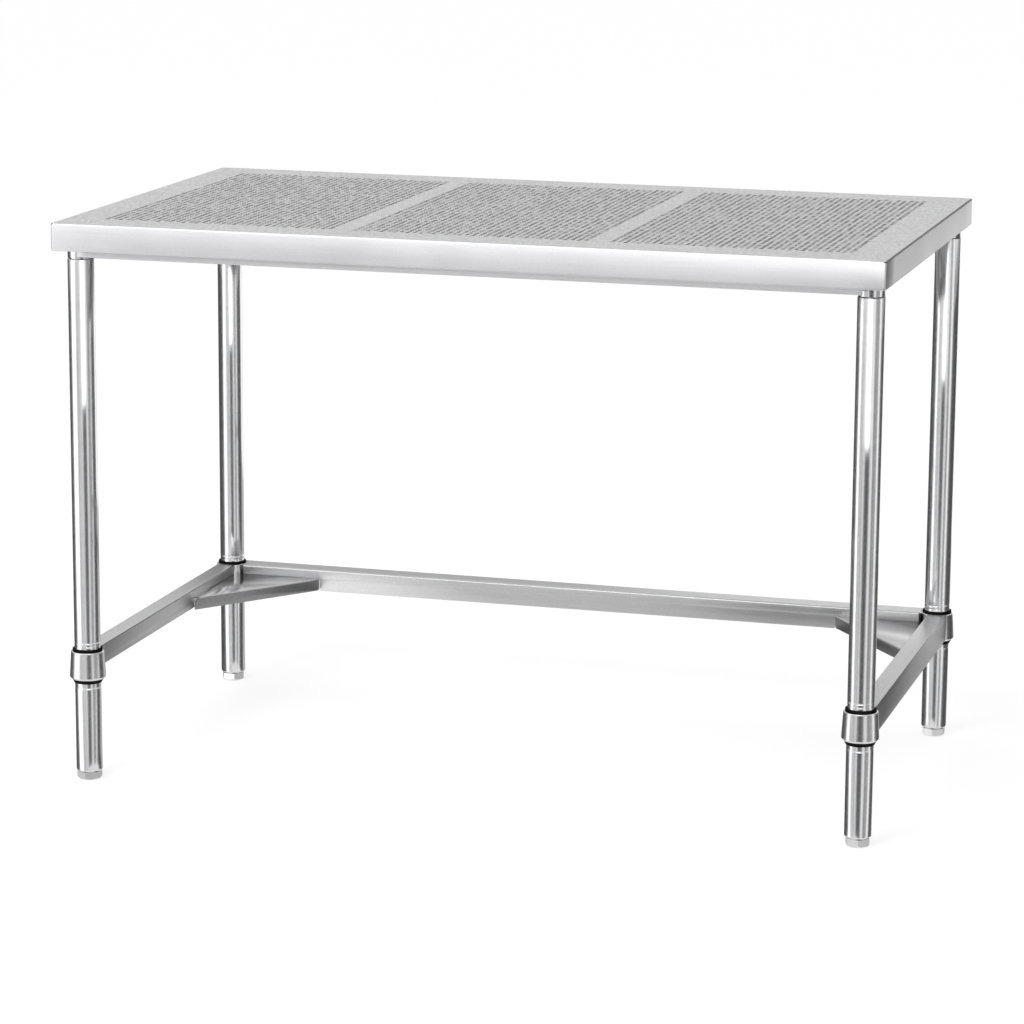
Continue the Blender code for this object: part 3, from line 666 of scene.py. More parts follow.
# Tabletop
def make_top_sheet():
    """The folded sheet without its perforated fields: margins, strips, aprons, return lips."""
    bm = bmesh.new()
    bmesh.ops.create_cube(bm, size=1.0)
    bmesh.ops.scale(bm, vec=(TOP_LENGTH, TOP_DEPTH, APRON_HEIGHT), verts=bm.verts)
    move(bm, (0, 0, TABLE_HEIGHT - APRON_HEIGHT / 2))
    upright = [edge for edge in bm.edges if abs(edge.verts[0].co.z - edge.verts[1].co.z) > 0.001]
    bevel(bm, upright, CORNER_BEND, 6)
    under = [face for face in bm.faces if face.normal.z < -0.5]
    bmesh.ops.delete(bm, geom=under, context="FACES_ONLY")
    lips, _ = extrude(bm, [edge for edge in bm.edges if edge.is_boundary])
    for vert in lips:
        vert.co.x -= math.copysign(RETURN_LIP, vert.co.x)
        vert.co.y -= math.copysign(RETURN_LIP, vert.co.y)
    bm.normal_update()
    bevel(bm, [edge for edge in bm.edges if is_fold(edge)], TOP_FOLD, FOLD_STEPS)
    for vert in bm.verts:
        vert.co.z = min(vert.co.z, TABLE_HEIGHT)
    bm.normal_update()
    cut_fields(bm)
    cut_seams(bm)
    for face in bm.faces:
        face.normal_update()
        face.material_index = top_sheet_material(face)
    materials = (top_steel, end_apron_steel, end_fold_painted_shade_steel, front_painted_light_steel)
    piece = finish_piece("top_sheet", bm, materials, "table", "tabletop", AXES)
    add_sheet_thickness(piece, TOP_SHEET, 0.00015)


def top_sheet_material(face):
    """Grain across the ends' aprons, and steel painted near black on their folds and corner seams,
    as painted shade lines.
    """
    at_end = abs(face.calc_center_median().x) > TOP_LENGTH / 2 - TOP_FOLD * 0.8
    across = abs(face.normal.x)
    if at_end and 0.1 < across < 0.99 and face.normal.z > 0.2:
        return END_FOLD
    if at_end and 0.9 < across < 0.999 and abs(face.normal.z) < 0.2:
        return END_FOLD
    if across > 0.75:
        return END_APRON
    # The front apron takes the lighter tones, which are painted light
    return FRONT_APRON if abs(face.normal.y) > 0.3 else TOP_FACE


def is_fold(edge):
    """Whether an edge runs round the sheet's outside, where the top or a lip meets an apron."""
    if len(edge.link_faces) != 2 or abs(edge.verts[0].co.z - edge.verts[1].co.z) > 0.0001:
        return False
    return edge.link_faces[0].normal.angle(edge.link_faces[1].normal) > 1.0


def cut_fields(bm):
    """Open the top where the three perforated fields are."""
    half_x = FIELD_COLUMNS * COLUMN_PITCH / 2
    half_y = COLUMN_HOLES * HOLE_PITCH / 2 + HOLE_PITCH / 4
    for field in FIELDS.values():
        for side in (-1, 1):
            cut(bm, (field * FIELD_SPACING + side * half_x, 0, 0), AXES[0])
    for side in (-1, 1):
        cut(bm, (0, side * half_y, 0), AXES[1])
    opened = [face for face in bm.faces if in_a_field(face, half_x, half_y)]
    bmesh.ops.delete(bm, geom=opened, context="FACES")


def in_a_field(face, half_x, half_y):
    middle = face.calc_center_median()
    if face.normal.z < 0.9 or middle.z < TABLE_HEIGHT - 0.001:
        return False
    near = min(abs(middle.x - field * FIELD_SPACING) for field in FIELDS.values())
    return near < half_x and abs(middle.y) < half_y


def cut_seams(bm):
    """Each corner's closed seam on the end apron, and the relief openings above and below it."""
    first = TOP_DEPTH / 2 - CORNER_BEND
    second = first - RELIEF_SEAM
    for side in (-1, 1):
        cut(bm, (0, side * first, 0), AXES[1])
        cut(bm, (0, side * second, 0), AXES[1])
    gone = []
    for face in bm.faces:
        middle = face.calc_center_median()
        on_seam = abs(face.normal.x) > 0.9 and second < abs(middle.y) < first
        if on_seam and abs(middle.x) > TOP_LENGTH / 2 - 0.001:
            gone.append(face)
        at_bend = abs(middle.x) > TOP_LENGTH / 2 - CORNER_BEND and abs(middle.y) > first
        if at_bend and abs(face.normal.z) > 0.1:
            gone.append(face)
    bmesh.ops.delete(bm, geom=gone, context="FACES")


def hole_cell():
    """One cell of the perforated sheet: a round hole through a rectangle of it."""
    bm = bmesh.new()
    bmesh.ops.create_circle(bm, cap_ends=False, segments=HOLE_SIDES, radius=HOLE_RADIUS)
    hole_edges = bm.edges[:]
    to_cell_border(extrude(bm, hole_edges)[0])
    lower, low_rim = extrude(bm, hole_edges)
    move(bm, (0, 0, -TOP_SHEET), lower)
    for face in bm.faces:
        # The hole's walls take the second material, which is painted shade
        if any(vert in lower for vert in face.verts):
            face.material_index = 1
    to_cell_border(extrude(bm, low_rim)[0])
    for face in bm.faces:
        if all(vert.co.z < -TOP_SHEET / 2 for vert in face.verts):
            face.material_index = 0
    return bm


def to_cell_border(verts):
    """Move a ring of vertices from the hole out to the cell's border."""
    half_x = COLUMN_PITCH / 2
    half_y = HOLE_PITCH / 2
    border = ((half_x, 0), (half_x, half_y / 2), (half_x, half_y), (0, half_y))
    for vert in verts:
        sector = round(math.degrees(math.atan2(abs(vert.co.y), abs(vert.co.x))) / 30)
        reach_x, reach_y = border[sector]
        vert.co.x = math.copysign(reach_x, vert.co.x)
        vert.co.y = math.copysign(reach_y, vert.co.y)


def make_field(name, field):
    """A perforated field: columns of holes, every other column half a pitch on."""
    bm = hole_cell()
    cell = everything(bm)
    move(bm, (0, -COLUMN_HOLES * HOLE_PITCH / 2 + HOLE_PITCH / 4, 0))
    for hole in range(1, COLUMN_HOLES):
        add_copy(bm, cell, (0, hole * HOLE_PITCH, 0))
    bmesh.ops.remove_doubles(bm, verts=bm.verts, dist=2 * SAME_PLACE)
    add_copy(bm, everything(bm), (COLUMN_PITCH, HOLE_PITCH / 2, 0))
    close_column_ends(bm)
    pair = everything(bm)
    start = field * FIELD_SPACING - (FIELD_COLUMNS - 1) / 2 * COLUMN_PITCH
    move(bm, (start, 0, TABLE_HEIGHT))
    for step in range(1, FIELD_COLUMNS // 2):
        add_copy(bm, pair, (2 * step * COLUMN_PITCH, 0, 0))
    bmesh.ops.remove_doubles(bm, verts=bm.verts, dist=2 * SAME_PLACE)
    materials = (top_steel, painted_shade_steel)
    finish_piece(name, bm, materials, "table", "tabletop", AXES[2:])


def add_copy(bm, geometry, offset):
    copied = bmesh.ops.duplicate(bm, geom=geometry)["geom"]
    move(bm, offset, verts_in(copied))


def close_column_ends(bm):
    """Fill the half pitch that one column of a pair is short of at the front, the other behind."""
    low = min(vert.co.y for vert in bm.verts)
    high = max(vert.co.y for vert in bm.verts)
    ends = ((high - HOLE_PITCH / 2, 0.0, 1), (low + HOLE_PITCH / 2, COLUMN_PITCH, -1))
    for at_y, middle, way in ends:
        open_edges = [
            edge for edge in bm.edges
            if edge.is_boundary
            and all(abs(vert.co.y - at_y) < SAME_PLACE for vert in edge.verts)
            and all(abs(vert.co.x - middle) < COLUMN_PITCH * 0.51 for vert in edge.verts)
        ]
        move(bm, (0, way * HOLE_PITCH / 2, 0), extrude(bm, open_edges)[0])


# Channels under the top
def make_edge_channel(name, node, side):
    """A channel behind the front or rear apron; its outer wall runs on a little past its ends."""
    half = TOP_SHEET / 2
    outer = TOP_DEPTH / 2 - EDGE_CHANNEL_SETBACK - half
    inner = outer - EDGE_CHANNEL_WIDTH + TOP_SHEET
    top = UNDER_TOP - half
    bottom = APRON_BOTTOM - EDGE_CHANNEL_DROP + half
    path = [
        (side * (outer + EDGE_CHANNEL_FLANGE), top),
        (side * outer, top),
        (side * outer, bottom),
        (side * inner, bottom),
        (side * inner, top),
        (side * (inner + EDGE_CHANNEL_FLANGE), top),
    ]
    reach = LEG_X - LEG_RADIUS
    bm = extruded_path(path, "x", reach)
    bevel_folds(bm, EDGE_CHANNEL_FOLD)
    tab_top = UNDER_TOP - SOCKET_PLATE_THICKNESS - TAB_DROP
    cut(bm, (0, 0, tab_top), AXES[2])
    ends = [
        edge for edge in bm.edges
        if edge.is_boundary
        and all(abs(abs(vert.co.x) - reach) < SAME_PLACE for vert in edge.verts)
        and all(abs(vert.co.y) > outer - OUTER_FOLD_BAND for vert in edge.verts)
        and all(vert.co.z < tab_top + SAME_PLACE for vert in edge.verts)
    ]
    for vert in extrude(bm, ends)[0]:
        vert.co.x += math.copysign(EDGE_CHANNEL_TAB, vert.co.x)
    # The channels take the front apron's painted light tones
    piece = finish_piece(name, bm, (front_painted_light_steel,), "table", node, AXES)
    add_sheet_thickness(piece, TOP_SHEET, side=0.0)


# Legs and what is on them
def leg_points():
    points = offset_from(LEG_RADIUS, LEG_BOTTOM, LEG_END)
    for height, depth in GROOVES:
        lip = GROOVE_HALF_WIDTH + GROOVE_RUN_OUT
        groove = [(-depth * share, GROOVE_HALF_WIDTH * rise) for share, rise in GROOVE_ROUND]
        points += offset_from(LEG_RADIUS, height, [(0.0, -lip)] + groove + [(0.0, lip)])
    points += offset_from(LEG_RADIUS, LEG_TOP, LEG_RIM)
    points.append((LEG_BORE, LEG_TOP))
    return points + offset_from(LEG_BORE, LEG_BOTTOM, LEG_END_BORE)


def make_leg(corner):
    bm = turned(leg_points())
    at_corner(bm, corner)
    finish_piece("leg_tube_" + corner, bm, (tube_steel,), "table", "leg_" + corner)


def make_spigot(corner):
    """The plug in the leg's top: a shoulder nearly as wide as the leg, and a weld bead above."""
    radius = LEG_BORE - FIT_GAP
    shoulder = LEG_RADIUS - SPIGOT_STEP
    seat = LEG_TOP + SPIGOT_GAP
    top = UNDER_TOP - SOCKET_PLATE_THICKNESS - FIT_GAP
    bottom = LEG_TOP - SPIGOT_LENGTH
    bore = radius - SPIGOT_WALL
    points = [(bore, bottom)] + offset_from(radius, bottom, SPIGOT_NOSE) + [(radius, seat)]
    points += offset_from(shoulder, seat, SHOULDER_EDGE) + offset_from(shoulder, top, WELD_BEAD)
    bm = turned(points + [(bore, top)])
    # Below the shoulder the plug is painted dark, as the painted shade of the gap
    for face in bm.faces:
        middle = face.calc_center_median()
        face.material_index = 1 if middle.z < seat and middle.xy.length > bore + NEAR_FACE else 0
    at_corner(bm, corner)
    finish_piece(
        "spigot_" + corner, bm, (tube_steel, painted_shade_steel), "table", "socket_spigot_" + corner,
    )


def sleeve_radius(height):
    share = (height - COLLAR_BOTTOM) / (COLLAR_TOP - COLLAR_BOTTOM)
    wall = SLEEVE_WALL_LOW + (SLEEVE_WALL_TOP - SLEEVE_WALL_LOW) * share
    return LEG_RADIUS + FIT_GAP + wall


def collar_radius(height):
    low = COLLAR_BOTTOM + COLLAR_CHAMFER_HEIGHT
    share = (height - low) / (COLLAR_TOP - low)
    wall = COLLAR_WALL_LOW + (COLLAR_WALL_TOP - COLLAR_WALL_LOW) * share
    return sleeve_radius(height) + FIT_GAP + wall


def make_collar(corner):
    low = COLLAR_BOTTOM + COLLAR_CHAMFER_HEIGHT
    points = [
        (sleeve_radius(COLLAR_BOTTOM) + FIT_GAP, COLLAR_BOTTOM),
        (collar_radius(low) - COLLAR_CHAMFER_DEPTH, COLLAR_BOTTOM),
        (collar_radius(low), low),
        (collar_radius(COLLAR_TOP), COLLAR_TOP),
        (sleeve_radius(COLLAR_TOP) + FIT_GAP, COLLAR_TOP),
    ]
    points = rounded(points, (4, 0.0008, 4), (3, 0.0016, 6), (2, 0.0015, 4), (1, 0.0006, 4))
    bm = turned(points)
    at_corner(bm, corner)
    finish_piece(
        "collar_ring_" + corner, bm, (collar_steel,), "table", "collar_" + corner,
    )


def make_sleeve(corner, half, start):
    """Half a black sleeve: a cone between leg and collar, with a tail below the collar."""
    bore = LEG_RADIUS + FIT_GAP
    top = COLLAR_TOP + SLEEVE_PROUD
    bottom = COLLAR_BOTTOM - SLEEVE_TAIL
    wide = sleeve_radius(COLLAR_BOTTOM)
    narrow = sleeve_radius(COLLAR_TOP)
    points = [
        (bore, bottom),
        (bore + 0.0008, bottom),
        (wide - 0.0012, COLLAR_BOTTOM - 0.0030),
        (wide - 0.0002, COLLAR_BOTTOM - 0.0016),
        (wide, COLLAR_BOTTOM),
        (narrow, COLLAR_TOP),
        (narrow + SLEEVE_LIP, COLLAR_TOP + 0.0004),
        (narrow + SLEEVE_LIP, top),
        (bore, top),
    ]
    points = rounded(points, (8, 0.0004, 3), (7, 0.0005, 3))
    slit = SLEEVE_SLIT / bore
    bm = bmesh.new()
    line = add_profile(bm, points, True)
    turn = Matrix.Rotation(start + slit, 3, "Z")
    bmesh.ops.rotate(bm, verts=bm.verts, cent=(0, 0, 0), matrix=turn)
    bmesh.ops.spin(
        bm, geom=line, cent=(0, 0, 0), axis=(0, 0, 1), dvec=(0, 0, 0),
        angle=math.pi - 2 * slit, steps=ROUND_STEPS // 2, use_merge=False, use_duplicate=False,
    )
    bmesh.ops.holes_fill(bm, edges=[edge for edge in bm.edges if edge.is_boundary], sides=0)
    at_corner(bm, corner)
    finish_piece(
        f"sleeve_half_{corner}_{half}", bm, (sleeve_plastic,), "table",
        f"sleeve_{corner}_{half}",
    )


# Rails
def extruded_path(path, along, reach):
    """A folded strip: a line of points, pushed along one axis from -reach to reach."""
    bm = bmesh.new()
    if along == "x":
        places = [(-reach, first, second) for first, second in path]
    else:
        places = [(first, -reach, second) for first, second in path]
    _, edges = add_line(bm, places)
    push = (2 * reach, 0, 0) if along == "x" else (0, 2 * reach, 0)
    move(bm, push, extrude(bm, edges)[0])
    return bm


def meet_collars(bm, along):
    """Move a rail's end vertices, which lie on the legs' axes, out to the collars' cones."""
    for vert in bm.verts:
        reach = collar_radius(vert.co.z) - WELD_DEPTH
        if along == "y" and abs(abs(vert.co.y) - LEG_Y) < SAME_PLACE:
            aside = abs(vert.co.x) - LEG_X
            vert.co.y -= math.copysign(math.sqrt(reach ** 2 - aside ** 2), vert.co.y)
        if along == "x" and abs(abs(vert.co.x) - LEG_X) < SAME_PLACE:
            aside = vert.co.y - LEG_Y
            vert.co.x -= math.copysign(math.sqrt(reach ** 2 - aside ** 2), vert.co.x)


def slice_rail(bm, axis, low, high, pieces):
    """Lengthwise cuts, so that the ends can follow the collars' round."""
    for index in range(1, pieces):
        cut(bm, AXES[axis] * (low + (high - low) * index / pieces), AXES[axis])


def make_side_rail(name, node, side):
    """A channel along a table's end, its inner flange notched for the gusset."""
    outer = side * (LEG_X + SIDE_RAIL_OUTSIDE)
    inner = side * (LEG_X - SIDE_RAIL_INSIDE)
    inner_low = RAIL_TOP - SIDE_RAIL_INNER_DROP
    path = [
        (outer, RAIL_TOP - RAIL_DROP), (outer, RAIL_TOP), (inner, RAIL_TOP), (inner, inner_low),
    ]
    bm = extruded_path(path, "y", LEG_Y)
    bevel_folds(bm, RAIL_FOLD)
    slice_rail(bm, 0, min(outer, inner) + RAIL_FOLD, max(outer, inner) - RAIL_FOLD, 9)
    notch = LEG_Y - NOTCH_REACH
    roof = GUSSET_TOP + GUSSET_CLEARANCE
    cut(bm, (0, notch, 0), AXES[1])
    for height in (inner_low + NOTCH_RISE, inner_low + 2 * NOTCH_RISE, roof):
        cut(bm, (0, 0, height), AXES[2])
    gone = []
    for face in bm.faces:
        middle = face.calc_center_median()
        on_flange = abs(middle.x - inner) < NEAR_FACE
        if on_flange and middle.y > notch and middle.z < roof:
            gone.append(face)
    bmesh.ops.delete(bm, geom=gone, context="FACES")
    for vert in bm.verts:
        at_notch = abs(vert.co.y - notch) < SAME_PLACE and abs(vert.co.x - inner) < NEAR_FACE
        if at_notch and abs(vert.co.z - inner_low - NOTCH_RISE) < SAME_PLACE:
            vert.co.y -= NOTCH_SLANT
    meet_collars(bm, "y")
    for face in bm.faces:
        face.normal_update()
        # The rounds of the rail's folds are painted dark, as painted shade lines
        face.material_index = 1 if 0.6 < abs(face.normal.x) < 0.95 else 0
    materials = (sheet_y, rail_fold_painted_shade_steel)
    piece = finish_piece(name, bm, materials, "table", node, AXES)
    add_sheet_thickness(piece, RAIL_SHEET)


def make_rear_rail():
    """The channel at the back; its front flange stops over the gussets."""
    front = LEG_Y - REAR_RAIL_HALF
    rear = LEG_Y + REAR_RAIL_HALF
    path = [
        (rear, RAIL_TOP - RAIL_DROP), (rear, RAIL_TOP), (front, RAIL_TOP),
        (front, GUSSET_TOP + GUSSET_CLEARANCE),
    ]
    bm = extruded_path(path, "x", LEG_X)
    bevel_folds(bm, RAIL_FOLD)
    slice_rail(bm, 1, front + RAIL_FOLD, rear - RAIL_FOLD, 11)
    near = LEG_X - REAR_RAIL_CUT_BACK
    for side in (-1, 1):
        cut(bm, (side * near, 0, 0), AXES[0])
    gone = []
    for face in bm.faces:
        middle = face.calc_center_median()
        if abs(middle.x) > near and middle.y < front + RAIL_FOLD:
            gone.append(face)
    bmesh.ops.delete(bm, geom=gone, context="FACES")
    meet_collars(bm, "x")
    piece = finish_piece("back_rail", bm, (sheet_x,), "table", "rear_rail", AXES)
    add_sheet_thickness(piece, RAIL_SHEET)


def make_inner_channel():
    """The channel nested in the rear rail, between the gussets."""
    nest = RAIL_SHEET + FIT_GAP
    front = LEG_Y - REAR_RAIL_HALF + nest
    rear = LEG_Y + REAR_RAIL_HALF - nest
    bottom = RAIL_TOP - INNER_CHANNEL_DROP
    top = RAIL_TOP - nest
    path = [(rear, bottom), (rear, top), (front, top), (front, bottom)]
    bm = extruded_path(path, "x", LEG_X - GUSSET_BACK_REACH - INNER_CHANNEL_END_GAP)
    bevel_folds(bm, RAIL_FOLD)
    piece = finish_piece(
        "back_rail_inner_channel", bm, (sheet_x,), "table", "rear_rail_stiffener",
        AXES,
    )
    add_sheet_thickness(piece, RAIL_SHEET)


# Gussets
def lip_outline(length):
    """The folded lip's lower edge: distance along the fold, and drop below the plate."""
    outline = []
    for step in range(1, LIP_ROUND_STEPS + 1):
        around = math.pi / 2 * (1 + step / LIP_ROUND_STEPS)
        outline.append((LIP_ROUND * (1 + math.cos(around)), LIP_ROUND * (1 - math.sin(around))))
    outline.append((0.0, LIP_DROP))
    for step in range(LIP_END_STEPS + 1):
        around = math.pi / 2 * step / LIP_END_STEPS
        back = LIP_END_ROUND * (1 - math.sin(around))
        outline.append((length - back, LIP_DROP - LIP_END_ROUND * (1 - math.cos(around))))
    return outline


def make_gusset(name, node, side):
    """A triangular plate round the rear collar, its long edge folded down."""
    rear = LEG_Y + REAR_RAIL_HALF - RAIL_SHEET - FIT_GAP
    far_x = side * (LEG_X + SIDE_RAIL_OUTSIDE - RAIL_SHEET - FIT_GAP)
    start = Vector((side * (LEG_X - SIDE_RAIL_INSIDE - FIT_GAP), LEG_Y - GUSSET_SIDE_REACH))
    end = Vector((side * (LEG_X - GUSSET_BACK_REACH), LEG_Y - REAR_RAIL_HALF))
    along = (end - start).normalized()
    turn_in = start + along * LIP_ROUND
    plate = [turn_in, Vector((far_x, turn_in.y)), Vector((far_x, rear)), Vector((end.x, rear)), end]
    bm = bmesh.new()
    plate_verts, rim = add_line(bm, [(point.x, point.y, GUSSET_TOP) for point in plate], True)
    lip_verts = []
    for reach, drop in lip_outline((end - start).length):
        point = start + along * reach
        lip_verts.append(bm.verts.new((point.x, point.y, GUSSET_TOP - drop)))
    hole = bmesh.ops.create_circle(
        bm, cap_ends=False, segments=64, radius=collar_radius(GUSSET_TOP) - WELD_DEPTH,
        matrix=Matrix.Translation((side * LEG_X, LEG_Y, GUSSET_TOP)),
    )["verts"]
    hole_edges = {edge for vert in hole for edge in vert.link_edges}
    bmesh.ops.triangle_fill(
        bm, use_beauty=True, use_dissolve=False, edges=rim + list(hole_edges), normal=(0, 0, 1),
    )
    bm.faces.new([plate_verts[0]] + lip_verts + [plate_verts[-1]])
    bmesh.ops.recalc_face_normals(bm, faces=bm.faces)
    if max(bm.faces, key=lambda face: face.calc_area()).normal.z < 0:
        bmesh.ops.reverse_faces(bm, faces=bm.faces)
    fold = bm.edges.get((plate_verts[0], plate_verts[-1]))
    bevel(bm, [fold], GUSSET_SHEET, FOLD_STEPS)
    for face in bm.faces:
        face.normal_update()
        face.material_index = 1 if abs(face.normal.z) < 0.7 else 0
    turn = -math.atan2(along.y, along.x)
    materials = (
        brushed_finish(node + "_plate_steel", "x", GUSSET_TONES, 0.18, turn, bump=0.1),
        # The lip is painted darker than the plate: painted shade
        brushed_finish(node + "_lip_painted_shade_steel", "x", LIP_SHADE_TONES, 0.40, turn),
    )
    flats = (AXES[2], Vector((-along.y, along.x, 0.0)))
    piece = finish_piece(name, bm, materials, "table", node, flats)
    add_sheet_thickness(piece, GUSSET_SHEET)


# Adjusters
def make_adjuster(corner):
    """Hexagonal foot, chamfered below like a nut and hollow over its pad, with its threaded stud."""
    seat = HEX_ACROSS_FLATS / 2 - HEX_SEAT_INSET
    pocket = PAD_RADIUS + FIT_GAP
    rings = (
        lambda around: (pocket, HEX_LIFT),
        lambda around: (seat, HEX_LIFT),
        lambda around: (hex_radius(around), HEX_LIFT + chamfer_rise(around, seat)),
        lambda around: (hex_radius(around), FOOT_TOP - FOOT_EDGE),
        lambda around: (hex_radius(around) - FOOT_EDGE, FOOT_TOP),
    )
    bm = bmesh.new()
    bmesh.ops.create_circle(bm, cap_ends=True, segments=ADJUSTER_STEPS, radius=pocket)
    move(bm, (0, 0, PAD_HEIGHT + FIT_GAP))
    rim = bm.edges[:]
    for ring in rings:
        rim = grow_ring(bm, rim, ring)
    bmesh.ops.holes_fill(bm, edges=rim, sides=0)
    add_thread(bm)
    turn = Matrix.Rotation(math.radians(FOOT_TURNS[corner]), 3, "Z")
    bmesh.ops.rotate(bm, verts=bm.verts, cent=(0, 0, 0), matrix=turn)
    at_corner(bm, corner)
    sides = [AXES[2]]
    for flat in range(3):
        way = math.radians(FOOT_TURNS[corner] + 30 + 60 * flat)
        sides.append(Vector((math.cos(way), math.sin(way), 0.0)))
    finish_piece(
        "adjuster_foot_" + corner, bm, (machined_steel,), "screw_" + corner,
        "adjuster_screw_" + corner, sides,
    )


def grow_ring(bm, rim, place):
    """Extrude a ring of edges and place each new vertex by its angle round Z."""
    verts, edges = extrude(bm, rim)
    for vert in verts:
        around = math.atan2(vert.co.y, vert.co.x)
        radius, height = place(around)
        vert.co = (radius * math.cos(around), radius * math.sin(around), height)
    return edges


def hex_radius(around):
    """Distance from the axis to the hexagon's outline, its corners at 0, 60, ... degrees."""
    from_flat = (math.degrees(around) % 60.0) - 30.0
    return HEX_ACROSS_FLATS / 2 / math.cos(math.radians(from_flat))


def chamfer_rise(around, seat):
    return (hex_radius(around) - seat) * math.tan(HEX_CHAMFER)


def add_thread(bm):
    """The stud's thread: one turn's profile swept up a screw line from inside the foot."""
    before = set(bm.edges)
    line = add_profile(
        bm,
        offset_from(0.0, THREAD_START, (
            (STUD_RADIUS, 0.0),
            (STUD_RADIUS, 0.0003),
            (STUD_ROOT, 0.0010),
            (STUD_ROOT, 0.0013),
            (STUD_RADIUS, STUD_PITCH),
        )),
        False,
    )
    bmesh.ops.spin(
        bm, geom=line, cent=(0, 0, 0), axis=(0, 0, 1), dvec=(0, 0, STUD_PITCH / THREAD_STEPS),
        angle=math.tau * THREAD_TURNS, steps=THREAD_STEPS * THREAD_TURNS, use_merge=False,
        use_duplicate=False,
    )
    bmesh.ops.remove_doubles(bm, verts=bm.verts, dist=SAME_PLACE)
    ends = [edge for edge in bm.edges if edge not in before and edge.is_boundary]
    bmesh.ops.holes_fill(bm, edges=ends, sides=0)


def make_pad(corner):
    points = [(0.0, 0.0), (PAD_RADIUS, 0.0), (PAD_RADIUS, PAD_HEIGHT), (0.0, PAD_HEIGHT)]
    bm = turned(rounded(points, (1, 0.0006, 3)), closed=False, steps=ADJUSTER_STEPS)
    at_corner(bm, corner)
    finish_piece(
        "foot_glide_" + corner, bm, (pad_plastic,), "pad_" + corner, "foot_pad_" + corner,
    )


def dress_cad_nodes():
    """Finishes for the solids that stay as they are."""
    for name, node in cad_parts.items():
        if node.hide_render:
            continue
        material = sheet_y if name.startswith("cross") else sheet_x
        if name.startswith("leg_insert"):
            material = machined_steel
        for slot in node.material_slots:
            slot.material = material


# Studio
def make_floor():
    """White to the eye, with the table's shadow, and clear from below."""
    bm = bmesh.new()
    bmesh.ops.create_grid(bm, x_segments=1, y_segments=1, size=FLOOR_SIZE)
    finish = new_finish("floor_paint")
    set_shader(finish, Base_Color=FLOOR_COLOUR, Roughness=0.9, Specular_IOR_Level=0.0)
    glow = finish.add("Emission", Color=WHITE, Strength=FLOOR_GLOW)
    both = finish.add("MixShader", Fac=finish.seen() * FLOOR_GLOW_SHARE)
    finish.link(shader_of(finish), both.inputs[1])
    finish.link(glow, both.inputs[2])
    clear = finish.add("MixShader", Fac=finish.number(finish.add("NewGeometry"), "Backfacing"))
    finish.link(both, clear.inputs[1])
    finish.link(finish.add("BsdfTransparent"), clear.inputs[2])
    finish.link(clear, finish.tree.nodes["Material Output"].inputs["Surface"])
    floor = new_object("floor", new_mesh("floor", bm, (finish.owner,)))
    floor.visible_glossy = False


def make_world():
    world = bpy.data.worlds.new("studio")
    bpy.context.scene.world = world
    finish = Finish(world)
    back = finish.tree.nodes["Background"]
    back.inputs["Color"].default_value = WHITE
    strength = WORLD_LIGHT + finish.seen() * (1.0 - WORLD_LIGHT)
    feed(finish.tree, back.inputs["Strength"], strength)


def glow_material(name, level):
    """A surface as bright as its own glow attribute says, times a level."""
    finish = new_finish(name)
    glow = finish.number(finish.add("Attribute", {"attribute_name": "glow"}), "Fac")
    light = finish.add("Emission", Color=WHITE, Strength=glow * level)
    finish.link(light, finish.tree.nodes["Material Output"].inputs["Surface"])
    finish.owner.cycles.emission_sampling = "NONE"
    return finish.owner


def stage_panel(name, bm, level):
    """A studio surface that only the steel reflects: a wall, a card or a softbox."""
    panel = new_object(name, new_mesh(name, bm, (glow_material(name + "_light", level),)))
    panel.visible_camera = False
    panel.visible_diffuse = False
    panel.visible_shadow = False
    panel.visible_transmission = False


def make_wall(name, low, high, level):
    bm = bmesh.new()
    glow = bm.verts.layers.float.new("glow")
    bmesh.ops.create_circle(bm, cap_ends=False, segments=64, radius=WALL_RADIUS)
    move(bm, (0, 0, low))
    move(bm, (0, 0, high - low), extrude(bm, bm.edges[:])[0])
    for vert in bm.verts:
        vert[glow] = 1.0
    stage_panel(name, bm, level)


def make_card(name, x, y, width, low, high, level, soft):
    """An upright card that faces the table; its light falls off towards its two sides."""
    bm = bmesh.new()
    glow = bm.verts.layers.float.new("glow")
    bmesh.ops.create_grid(bm, x_segments=12, y_segments=1, size=0.5)
    for vert in bm.verts:
        from_side = min(1.0, (0.5 - abs(vert.co.x)) / soft)
        share = from_side * from_side * (3.0 - 2.0 * from_side)
        vert[glow] = share + (1.0 - share) * WALL_LEVEL / level
    bmesh.ops.scale(bm, vec=(width, high - low, 1.0), verts=bm.verts)
    facing = Matrix.Rotation(math.atan2(-x, y), 3, "Z")
    bmesh.ops.rotate(bm, verts=bm.verts, cent=(0, 0, 0), matrix=facing @ UPRIGHT)
    move(bm, (x, y, (low + high) / 2))
    stage_panel(name, bm, level)


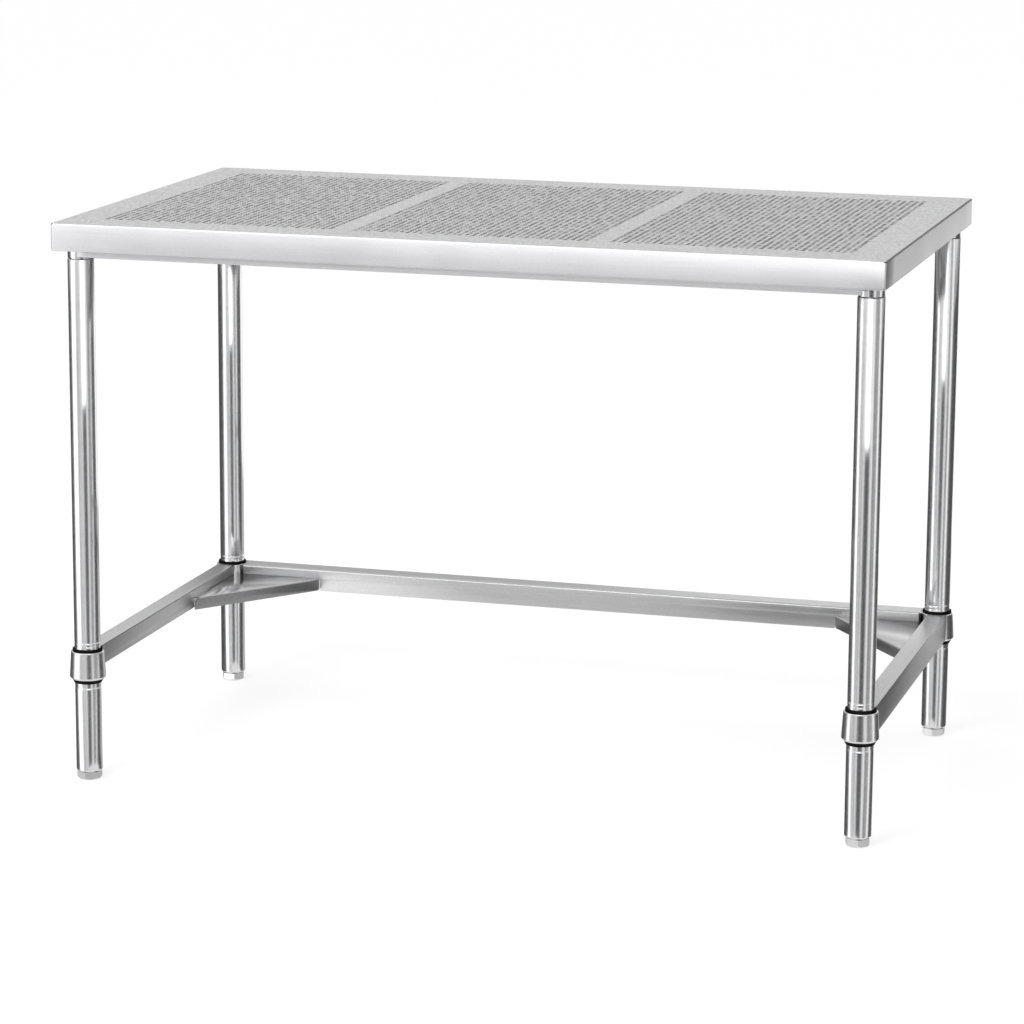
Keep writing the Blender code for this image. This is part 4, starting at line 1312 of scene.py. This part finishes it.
def make_lamp(name, place, size, watts):
    data = bpy.data.lights.new(name, "AREA")
    data.shape = "RECTANGLE"
    data.size, data.size_y = size
    data.energy = watts
    lamp = new_object(name, data)
    lamp.location = place
    lamp.rotation_euler = (LAMP_AIM - Vector(place)).to_track_quat("-Z", "Y").to_euler()


def make_camera():
    back = Vector((
        math.sin(CAMERA_YAW) * math.cos(CAMERA_PITCH),
        -math.cos(CAMERA_YAW) * math.cos(CAMERA_PITCH),
        math.sin(CAMERA_PITCH),
    ))
    right = Vector((math.cos(CAMERA_YAW), math.sin(CAMERA_YAW), 0.0))
    up = back.cross(right)
    turned_right = right * math.cos(CAMERA_ROLL) + up * math.sin(CAMERA_ROLL)
    turned_up = up * math.cos(CAMERA_ROLL) - right * math.sin(CAMERA_ROLL)
    data = bpy.data.cameras.new("camera")
    data.sensor_width = CAMERA_SENSOR
    data.lens = CAMERA_LENS
    data.clip_start = 0.05
    data.clip_end = 200.0
    camera = new_object("camera", data)
    place = Matrix((turned_right, turned_up, back)).transposed().to_4x4()
    place.translation = CAMERA_TARGET + back * CAMERA_DISTANCE
    camera.matrix_world = place
    bpy.context.scene.camera = camera


def make_studio():
    make_floor()
    make_world()
    for name, wall in WALLS.items():
        make_wall(name, *wall)
    for name, card in CARDS.items():
        make_card(name, *card)
    for name, lamp in LAMPS.items():
        make_lamp(name, *lamp)


def main():
    make_camera()
    make_studio()
    make_top_sheet()
    for name, field in FIELDS.items():
        make_field("perforated_field_" + name, field)
    make_edge_channel("front_edge_channel", "front_stiffener", -1)
    make_edge_channel("rear_edge_channel", "rear_stiffener", 1)
    for corner in CORNERS:
        make_leg(corner)
        make_spigot(corner)
        make_collar(corner)
        make_sleeve(corner, "front", math.pi)
        make_sleeve(corner, "rear", 0.0)
        make_adjuster(corner)
        make_pad(corner)
    make_side_rail("left_side_rail", "left_rail", -1)
    make_side_rail("right_side_rail", "right_rail", 1)
    make_rear_rail()
    make_inner_channel()
    make_gusset("corner_gusset_left", "gusset_left", -1)
    make_gusset("corner_gusset_right", "gusset_right", 1)
    dress_cad_nodes()


main()
bpy.context.scene.view_settings.view_transform = "Standard"
